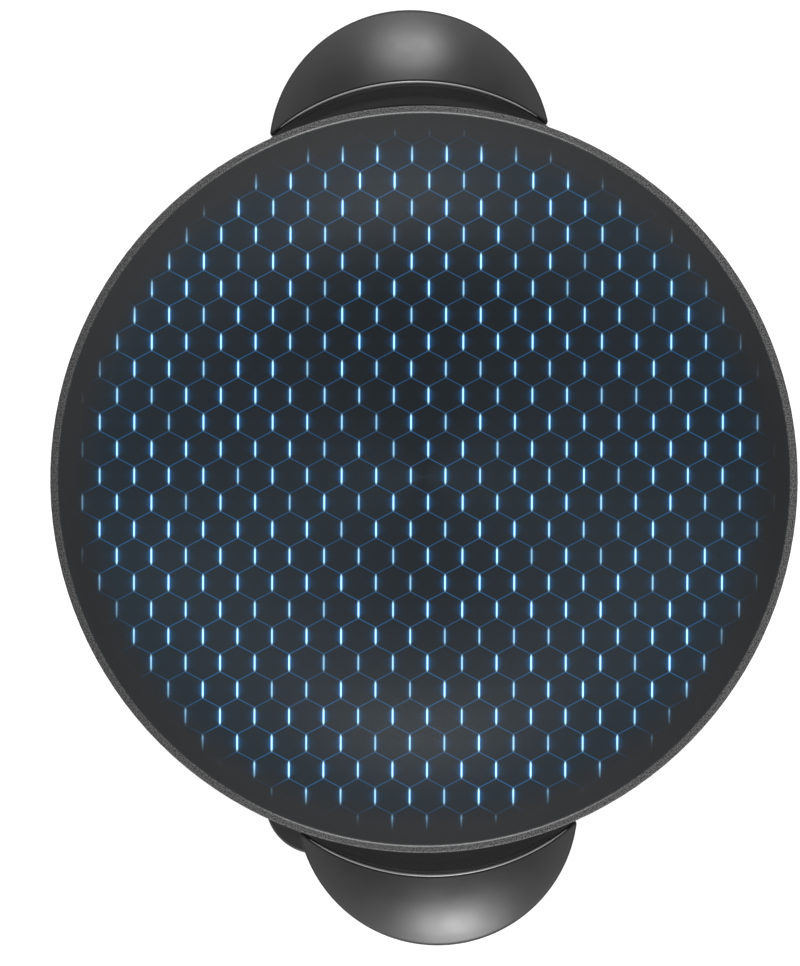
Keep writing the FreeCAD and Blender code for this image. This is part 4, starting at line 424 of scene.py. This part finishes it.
def pan_coating():
    """Black coating with a honeycomb whose blue glow is painted light, by emission and in the base
    colour, a speckled rim with a painted glint and painted shade, and a dark cast outside.
    """
    m = Recipe("pan_coating", 0.04, roughness=0.5, specular_ior_level=0.2)
    place = m.place()
    x, y, z = m.split(place)
    radius = m.length(m.join(x, y))
    frontal = m.maths("DIVIDE", m.maths("ABSOLUTE", y), m.maths("MAXIMUM", radius, MM))

    right, up = seen_flat(m, place)
    upright, slanted, bar, point = honeycomb(m, right, up)
    near = m.ramp(m.length(m.join(right, up)), GLOW_INNER, GLOW_OUTER, 1.0, 0.0, smooth=True)
    fade = m.product(near, inner_face(m, radius, z))
    level = glow_level(m, bar, fade)
    is_upright = m.maths("LESS_THAN", upright, slanted)
    ends = m.ramp(m.maths("SUBTRACT", slanted, upright), 0.0, 0.10, 0.2, 1.0, smooth=True)
    core = m.product(m.ramp(upright, 0.008, 0.036, 1.0, 0.0, smooth=True), is_upright, ends)
    spread = m.maths("MULTIPLY_ADD", m.falloff(upright, 6.0), 0.06, m.falloff(upright, 22.0))
    halo = m.product(spread, ends)
    thin = m.ramp(slanted, 0.004, 0.024, 1.0, 0.0, smooth=True)

    wave = m.maths("SINE", m.product(m.dot(point, HATCH_ALONG), HATCH_PITCH))
    hatch = m.product(m.ramp(wave, -1.0, 1.0, 0.86, 1.14), m.ramp(frontal, 0.3, 1.0, 1.10, 0.74))
    speckle = m.ramp(m.noise(2200, 2), 0.60, 0.74)
    coat = m.mix(m.product(speckle, 0.5), COAT, COAT_SPECK)
    # Painted glow: a blue spill over the coat near the glowing cells, and on the slanted lines.
    coat = m.mix(m.product(fade, 0.85), coat, m.scaled(COAT_GLOW_BLUE, hatch))
    coat = m.mix(m.product(thin, level, 0.6), coat, LINE_GLOW_BLUE)
    # Painted glow in the bars' colour, lighter where their glow is stronger.
    painted_bar_glow = m.mix(level, BAR_DIM, BAR_LIT)
    coat = m.mix(m.maths("MINIMUM", m.product(core, level, 1.5), 1.0), coat, painted_bar_glow)

    rim, edge = rim_look(m, radius, x, frontal)
    over_rim = m.ramp(radius, BOWL_EDGE - 0.5 * MM, BOWL_EDGE - 0.1 * MM)
    top = m.product(over_rim, m.ramp(z, RIM_HEIGHT - 3 * MM, RIM_HEIGHT - 1.5 * MM))
    m.set("Base Color", m.mix(top, coat, rim))
    grain = m.noise(1400, 3)
    matt = m.ramp(grain, 0.3, 0.7, 0.44, 0.58)
    m.set("Roughness", m.mix(m.product(top, edge), matt, 0.28))
    m.bump(grain, 0.03 * MM)
    m.bump(m.cells(1500), 0.05 * MM, 0.5)

    # The honeycomb glows by emission though it is no lamp: painted light.
    strong = m.maths("POWER", level, 1.5)
    shine = m.scaled(BAR_SHINE, m.product(core, strong))
    haze = m.scaled(BAR_HAZE, m.product(halo, strong))
    line = m.scaled(LINE_SHINE, m.product(thin, strong))
    m.set("Emission Color", m.vector("ADD", m.vector("ADD", shine, haze), line))
    m.set("Emission Strength", 1.0)
    return m.material


# ---------------------------------------------------------------- materials by slot
def lens_material():
    m = Recipe("lens_amber", (0.75, 0.16, 0.02), roughness=0.08, transmission_weight=0.85)
    m.set("Roughness", m.ramp(m.noise(400), 0.3, 0.7, 0.05, 0.14))
    m.set("Base Color", m.mix(m.noise(120), (0.80, 0.20, 0.03), (0.65, 0.10, 0.01)))
    m.bump(m.cells(900), 0.10 * MM, 0.4)
    return m.material


def glass_material():
    m = Recipe("lamp_glass", (0.93, 0.88, 0.84), roughness=0.04, transmission_weight=0.9)
    m.set("Base Color", m.mix(m.noise(300), (0.95, 0.90, 0.86), (0.85, 0.72, 0.66)))
    m.bump(m.noise(500), 0.05 * MM, 0.4)
    return m.material


def ceramic_material():
    m = Recipe("ceramic_white", (0.72, 0.70, 0.66), roughness=0.45)
    stain = m.ramp(m.noise(180, 5), 0.35, 0.75)
    m.set("Base Color", m.mix(stain, (0.76, 0.74, 0.70), (0.56, 0.53, 0.48)))
    m.bump(m.noise(2200), 0.03 * MM)
    return m.material


def rubber(name, colour):
    m = Recipe(name, colour, roughness=0.75, specular_ior_level=0.25)
    dust = m.ramp(m.noise(260, 6, 0.7), 0.5, 0.8)
    m.set("Base Color", m.mix(m.product(dust, 0.5), colour, [c + 0.03 for c in colour]))
    m.set("Roughness", m.ramp(m.noise(90), 0.3, 0.7, 0.66, 0.84))
    m.bump(m.noise(3200, 3), 0.06 * MM)
    return m.material


def slot_materials():
    return {
        "pan": pan_coating(),
        "handle": handle_material(),
        "handle_grip": moulded("grip_phenolic", BLACK, 1800, 0.48, 0.06 * MM),
        "cradle": moulded("cradle_phenolic", (0.012, 0.012, 0.0125), 1500, 0.50, 0.07 * MM),
        "probe_housing": moulded("probe_phenolic", (0.027, 0.027, 0.0275), 2400, 0.42, 0.04 * MM),
        "probe_nose": moulded("nose_phenolic", (0.012, 0.011, 0.010), 1800, 0.5, 0.05 * MM),
        "dial": moulded("dial_phenolic", BLACK, 2800, 0.42, 0.02 * MM),
        "trigger": moulded("trigger_nylon", (0.014, 0.014, 0.015), 2200, 0.45, 0.04 * MM),
        "cam_plastic": moulded("cam_acetal", (0.55, 0.54, 0.50), 2000, 0.40, 0.03 * MM),
        "gland_rubber": rubber("gland_rubber", (0.014, 0.014, 0.015)),
        "feet": rubber("foot_rubber", (0.020, 0.020, 0.021)),
        "element_sheath": metal("sheath_steel", (0.30, 0.28, 0.27), 0.42, grain=500),
        "terminal_pins": metal("pin_nickel", (0.62, 0.60, 0.57), 0.26, (1.0, 1.0, 0.1)),
        "guard_sheet": metal("guard_aluminium", (0.66, 0.67, 0.69), 0.34, (0.08, 1.0, 1.0)),
        "shield_sheet": metal("shield_aluminium", (0.68, 0.69, 0.70), 0.36, (1.0, 0.06, 1.0)),
        "screws": metal("screw_zinc", (0.55, 0.56, 0.58), 0.32, grain=2400),
        "contact_metal": metal("contact_brass", (0.64, 0.50, 0.26), 0.30, (1.0, 1.0, 0.2)),
        "contact_silver": metal("contact_silver", (0.80, 0.79, 0.77), 0.24),
        "sensor_steel": metal("sensor_steel", (0.60, 0.60, 0.61), 0.25, (1.0, 1.0, 0.15)),
        "inner_steel": metal("inner_steel", (0.50, 0.51, 0.53), 0.34, (1.0, 1.0, 0.15)),
        "spring_steel": metal("spring_steel", (0.48, 0.48, 0.50), 0.28, grain=1500),
        "ceramic": ceramic_material(),
        "lens": lens_material(),
        "lamp_glass": glass_material(),
    }


def dress_nodes():
    """Give every node of the frame its slot's material."""
    materials = slot_materials()
    for entry in frame["record"]["subparts"]:
        node = frame["nodes"][entry["node"]]
        node.data.materials.clear()
        node.data.materials.append(materials[entry["material_slot"]])
    return materials


# ---------------------------------------------------------------- stage
def sheet(name, half, height, material):
    """Level square that belongs to the stage."""
    mesh = bpy.data.meshes.new(name)
    corners = [(-half, -half), (half, -half), (half, half), (-half, half)]
    mesh.from_pydata([(x, y, height) for x, y in corners], [], [(0, 1, 2, 3)])
    mesh.materials.append(material)
    made = bpy.data.objects.new(name, mesh)
    bpy.context.scene.collection.objects.link(made)
    return made


def floor():
    """Large pale floor with the real shadow, lifted to white for the camera and for reflections."""
    m = Recipe("floor_paper", FLOOR_PAPER, roughness=0.9, specular_ior_level=0.0)
    m.set("Base Color", m.mix(m.noise(3), FLOOR_PAPER, FLOOR_STAIN))
    path = m.node("LightPath")
    seen = m.maths("MAXIMUM", path.outputs["Is Camera Ray"], path.outputs["Is Glossy Ray"])
    seen = m.maths("MAXIMUM", seen, path.outputs["Is Transmission Ray"])
    m.set("Emission Color", 1.0)
    m.set("Emission Strength", m.product(seen, FLOOR_GLOW))
    sheet("floor", FLOOR_SIZE / 2, -FLOOR_DROP, m.material)


def world():
    """Even sky: white where the camera, gloss or glass sees it, dimmer as a light."""
    sky = bpy.data.worlds.new("studio")
    sky.use_nodes = True
    tree = sky.node_tree
    background = tree.nodes["Background"]
    path = tree.nodes.new("ShaderNodeLightPath")
    seen = path.outputs["Is Camera Ray"]
    for ray in ("Is Glossy Ray", "Is Transmission Ray"):
        either = tree.nodes.new("ShaderNodeMath")
        either.operation = "MAXIMUM"
        tree.links.new(seen, either.inputs[0])
        tree.links.new(path.outputs[ray], either.inputs[1])
        seen = either.outputs[0]
    level = tree.nodes.new("ShaderNodeMapRange")
    level.inputs["To Min"].default_value = WORLD_LEVEL
    level.inputs["To Max"].default_value = WORLD_WHITE
    tree.links.new(seen, level.inputs["Value"])
    tree.links.new(level.outputs["Result"], background.inputs["Strength"])
    background.inputs["Color"].default_value = (1, 1, 1, 1)
    bpy.context.scene.world = sky


def softbox(name, bearing, elevation, width, height, radiance):
    """Rectangular lamp that faces the pan's middle; its bearing goes from +Y towards +X."""
    flat = math.cos(elevation) * LAMP_DISTANCE
    rise = math.sin(elevation) * LAMP_DISTANCE
    offset = Vector((flat * math.sin(bearing), flat * math.cos(bearing), rise))
    data = bpy.data.lights.new(name, "AREA")
    data.shape = "RECTANGLE"
    data.size = width
    data.size_y = height
    data.energy = radiance * math.pi * width * height
    lamp = bpy.data.objects.new(name, data)
    lamp.location = Vector((0, 0, RIM_HEIGHT)) + offset
    lamp.rotation_euler = offset.to_track_quat("Z", "Y").to_euler()
    lamp.visible_camera = False
    bpy.context.scene.collection.objects.link(lamp)


def lamps():
    rear = (math.radians(2.5), math.radians(23))
    front = (math.radians(176), math.radians(11))
    softbox("rear_softbox", *rear, width=0.50, height=0.34, radiance=23.0)
    softbox("front_softbox", *front, width=0.74, height=0.32, radiance=23.5)


def flag():
    """Dim panel high above, so that level black surfaces keep their depth."""
    m = Recipe("flag_cloth", 0.0, roughness=1.0, specular_ior_level=0.0)
    m.set("Emission Color", 1.0)
    m.set("Emission Strength", FLAG_LEVEL)
    panel = sheet("flag", FLAG_SIZE / 2, FLAG_HEIGHT, m.material)
    panel.visible_camera = False
    panel.visible_diffuse = False
    panel.visible_transmission = False
    panel.visible_shadow = False


def camera():
    """Camera nearly straight above, turned a little; the pan is off centre as in the photograph."""
    data = bpy.data.cameras.new("camera")
    data.sensor_width = SENSOR
    data.lens = SENSOR * CAMERA_DISTANCE / (IMAGE_HEIGHT * PIXEL)
    across = (IMAGE_WIDTH / 2 - RIM_CENTRE_PIXEL[0]) * PIXEL
    upwards = (RIM_CENTRE_PIXEL[1] - IMAGE_HEIGHT / 2) * PIXEL
    holder = bpy.data.objects.new("camera", data)
    aim = IMAGE_RIGHT * across + IMAGE_UP * upwards + Vector((0, 0, RIM_HEIGHT))
    holder.location = IMAGE_UP * CAMERA_OFFSET + Vector((0, 0, RIM_HEIGHT + CAMERA_DISTANCE))
    back = (holder.location - aim).normalized()
    right = IMAGE_UP.cross(back).normalized()
    holder.rotation_euler = Matrix((right, back.cross(right), back)).transposed().to_euler()
    bpy.context.scene.collection.objects.link(holder)
    bpy.context.scene.camera = holder


# ---------------------------------------------------------------- swept pieces
TAPER_START = 0.25  # size of a tapered piece's ends, as a share of its full size


def evenly(first, last, steps):
    """Numbers from first to last, in equal steps."""
    return [first + (last - first) * k / steps for k in range(steps + 1)]


def ring_profile(radius, sides):
    turns = [2 * math.pi * k / sides for k in range(sides)]
    return [(radius * math.cos(t), radius * math.sin(t)) for t in turns]


def finished(name, mesh, material, smooth=True):
    """Object from a bmesh, with its material."""
    data = bpy.data.meshes.new(name)
    mesh.to_mesh(data)
    mesh.free()
    data.materials.append(material)
    data.polygons.foreach_set("use_smooth", [smooth] * len(data.polygons))
    made = bpy.data.objects.new(name, data)
    bpy.context.scene.collection.objects.link(made)
    return made


def swept(name, path, profile, material, taper=None):
    """Closed profile swept along a path; its first axis lies level across the path, its second is up.

    Taper, a share of the path's points, sets how slowly each end grows to its full size.
    """
    mesh = bmesh.new()
    rings = []
    last = len(path) - 1
    for k, point in enumerate(path):
        along = (path[min(k + 1, last)] - path[max(k - 1, 0)]).normalized()
        across = along.cross(Vector((0, 0, 1))).normalized()
        up = across.cross(along)
        from_end = min(k, last - k) / last
        size = min(1.0, TAPER_START + from_end / taper) if taper else 1.0
        rings.append([mesh.verts.new(point + (across * a + up * b) * size) for a, b in profile])
    for first, second in zip(rings, rings[1:]):
        for k in range(len(profile)):
            n = (k + 1) % len(profile)
            mesh.faces.new((first[k], first[n], second[n], second[k]))
    mesh.faces.new(rings[0])
    mesh.faces.new(reversed(rings[-1]))
    bmesh.ops.recalc_face_normals(mesh, faces=mesh.faces)
    return finished(name, mesh, material)


# ---------------------------------------------------------------- trim of the handles
TRIM_STEPS = 120
LIP_RADIUS = 0.6 * MM
LIP_SIDES = 10
LIP_SINK = 0.55 * LIP_RADIUS
LIP_OFFSET = 0.75 * MM
LIP_TAPER = 0.12
# Dark strip behind the bead: painted shadow in place of a cut line along the ridge.
SHADOW_STRIP_WIDTH = 0.6 * MM
SHADOW_STRIP_STAND = 0.05 * MM
SHADOW_STRIP_OFFSET = 1.9 * MM
BAND_STAND = 0.04 * MM
BAND_SINK = 3 * BAND_STAND
BAND_START = math.radians(55)  # on the shoulder's rounding, down from its top
BAND_END = math.radians(80)
BAND_STEPS = 6
BAND_HALF_ANGLE = math.radians(82)
BAND_TAPER = 0.04


def crown_height(x, y):
    """Height of the rear handle's crown over a point."""
    reach = math.hypot(x, y - HANDLE_AXIS)
    rise = math.sqrt(CROWN_RADIUS**2 - reach**2) - math.sqrt(CROWN_RADIUS**2 - HANDLE_RADIUS**2)
    return CROWN_EDGE + rise


def ridge_point(turn, offset, drop):
    """Point of the crown beside the ridge, offset outwards from the recess's wall, and lowered."""
    radius = RIDGE_RADIUS + offset
    x = radius * math.sin(turn)
    y = RIDGE_AXIS + radius * math.cos(turn)
    return Vector((x, y, crown_height(x, y))) - Vector((0, 0, drop))


def ridge_line(offset, drop=0.0):
    turns = evenly(-RIDGE_HALF_ANGLE, RIDGE_HALF_ANGLE, TRIM_STEPS)
    return [ridge_point(turn, offset, drop) for turn in turns]


def shoulder_point(turn):
    x = SHOULDER_RADIUS * math.sin(turn)
    y = HANDLE_AXIS + SHOULDER_RADIUS * math.cos(turn)
    return Vector((x, y, SHOULDER_HEIGHT))


def band_profile():
    """Thin shell that lies on the shoulder's rounding."""
    outer = SHOULDER_ROUND + BAND_STAND
    inner = SHOULDER_ROUND - BAND_SINK
    tilts = evenly(BAND_START, BAND_END, BAND_STEPS)
    profile = [(-outer * math.sin(t), outer * math.cos(t)) for t in tilts]
    return profile + [(-inner * math.sin(t), inner * math.cos(t)) for t in reversed(tilts)]


def handle_trim():
    """Bead along each handle's ridge, partly polished trim and partly painted highlight, a dark strip
    behind it that is painted shadow in place of a cut line, and the dull band on its shoulder.
    """
    # The bead's pale grey is partly polished trim and partly a painted highlight along the ridge.
    finish = metal("lip_polish_and_painted_highlight", (0.34, 0.34, 0.335), 0.40, grain=1200, relief=0.002 * MM, bare=0.4)
    # Near-black painted shadow for the strip behind the bead.
    dark = rubber("groove_shadow", (0.004, 0.004, 0.004))
    dull = rubber("shoulder_matt", (0.022, 0.022, 0.022))
    bead = ring_profile(LIP_RADIUS, LIP_SIDES)
    half = SHADOW_STRIP_WIDTH / 2
    rise = SHADOW_STRIP_STAND
    strip = [(-half, -rise), (half, -rise), (half, rise), (-half, rise)]
    shoulder = [shoulder_point(turn) for turn in evenly(-BAND_HALF_ANGLE, BAND_HALF_ANGLE, TRIM_STEPS)]
    for side, turn in (("rear", 0.0), ("front", math.pi)):
        lip = swept(side + "_handle_lip", ridge_line(LIP_OFFSET, LIP_SINK), bead, finish, LIP_TAPER)
        shadow_strip = swept(side + "_handle_groove_shadow", ridge_line(SHADOW_STRIP_OFFSET), strip, dark, LIP_TAPER)
        band = swept(side + "_handle_band", shoulder, band_profile(), dull, BAND_TAPER)
        for piece in (lip, shadow_strip, band):
            piece.data.transform(Matrix.Rotation(turn, 4, "Z"))
            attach(piece, "wok")


# ---------------------------------------------------------------- trigger's spring
SPRING_RADIUS = 3.0 * MM
SPRING_WIRE = 0.35 * MM
SPRING_TURNS = 4
SPRING_TURN_STEPS = 24
SPRING_SIDES = 8


def trigger_coil(material):
    """Coil spring in the place of the frame's trigger spring, which it hides."""
    low, high = (Vector(corner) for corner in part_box("trigger_spring"))
    middle = (low + high) / 2
    foot = low.z + SPRING_WIRE
    rise = high.z - low.z - 2 * SPRING_WIRE
    path = []
    for k in range(SPRING_TURNS * SPRING_TURN_STEPS + 1):
        turns = k / SPRING_TURN_STEPS
        x = middle.x + SPRING_RADIUS * math.cos(2 * math.pi * turns)
        y = middle.y + SPRING_RADIUS * math.sin(2 * math.pi * turns)
        path.append(Vector((x, y, foot + rise * turns / SPRING_TURNS)))
    coil = swept("trigger_coil", path, ring_profile(SPRING_WIRE, SPRING_SIDES), material)
    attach(coil, "probe")
    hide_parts("trigger_spring")
    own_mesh(coil)


# ---------------------------------------------------------------- dial's scale
SCALE_RADIUS = 22.2 * MM
SCALE_START = math.radians(-45)
SCALE_TURN = math.radians(270)
SCALE_STEPS = 9
NUMBER_HEIGHT = 3.4 * MM
NUMBER_SHARE = 0.7  # height of a digit as a share of the font's size
PAINT = 0.08 * MM
POINTER_WIDTH = 1.1 * MM
POINTER_LENGTH = 6.6 * MM
POINTER_PLACE = 9.4 * MM  # from the dial's axis to the middle of its painted line
POINTER_BEVEL = 0.05 * MM


def paint_material():
    m = Recipe("print_white", 0.72, roughness=0.55)
    wear = m.ramp(m.noise(900, 4), 0.35, 0.7)
    m.set("Base Color", m.mix(wear, (0.62, 0.62, 0.60), (0.76, 0.76, 0.74)))
    m.bump(m.noise(3000), 0.01 * MM)
    return m.material


def on_pod(turn, radius):
    """Place on the pod's flat top, turn measured from the outward direction."""
    angle = OUTWARDS + turn
    x = POD_CENTRE.x + radius * math.cos(angle)
    y = POD_CENTRE.y + radius * math.sin(angle)
    return Matrix.Translation(Vector((x, y, POD_TOP))) @ Matrix.Rotation(angle - math.pi / 2, 4, "Z")


def printed_number(text, material):
    """Thin printed number with its middle at the origin, as a mesh."""
    curve = bpy.data.curves.new("number", "FONT")
    curve.body = text
    curve.size = NUMBER_HEIGHT / NUMBER_SHARE
    curve.align_x = "CENTER"
    curve.align_y = "CENTER"
    curve.extrude = PAINT
    holder = bpy.data.objects.new("number", curve)
    bpy.context.scene.collection.objects.link(holder)
    bpy.context.view_layer.update()
    data = bpy.data.meshes.new_from_object(holder)
    bpy.data.objects.remove(holder)
    data.materials.clear()
    data.materials.append(material)
    return data


def dial_numbers(paint):
    """Numbers around the dial, on the pod's top."""
    for step in range(SCALE_STEPS + 1):
        data = printed_number(str(step), paint)
        data.transform(on_pod(SCALE_START - SCALE_TURN * step / SCALE_STEPS, SCALE_RADIUS))
        number = bpy.data.objects.new("dial_number_%d" % step, data)
        bpy.context.scene.collection.objects.link(number)
        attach(number, "probe")


def pointer_line(paint):
    """Painted line on top of the dial, which turns with it."""
    mesh = bmesh.new()
    bmesh.ops.create_cube(mesh, size=1.0)
    bmesh.ops.scale(mesh, verts=mesh.verts, vec=(POINTER_WIDTH, POINTER_LENGTH, 2 * PAINT))
    bmesh.ops.bevel(mesh, geom=mesh.edges, offset=POINTER_BEVEL, segments=2, affect="EDGES")
    bmesh.ops.translate(mesh, verts=mesh.verts, vec=(0, 0, DIAL_HIGH.z - POD_TOP))
    line = finished("dial_pointer_line", mesh, paint, smooth=False)
    line.data.transform(on_pod(SCALE_START, POINTER_PLACE))
    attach(line, "dial")


def dial_scale():
    """Everything that is printed on and around the dial."""
    paint = paint_material()
    dial_numbers(paint)
    pointer_line(paint)


camera()
materials = dress_nodes()
handle_trim()
trigger_coil(materials["spring_steel"])
dial_scale()
floor()
world()
flag()
lamps()
bpy.context.scene.view_settings.view_transform = "Standard"
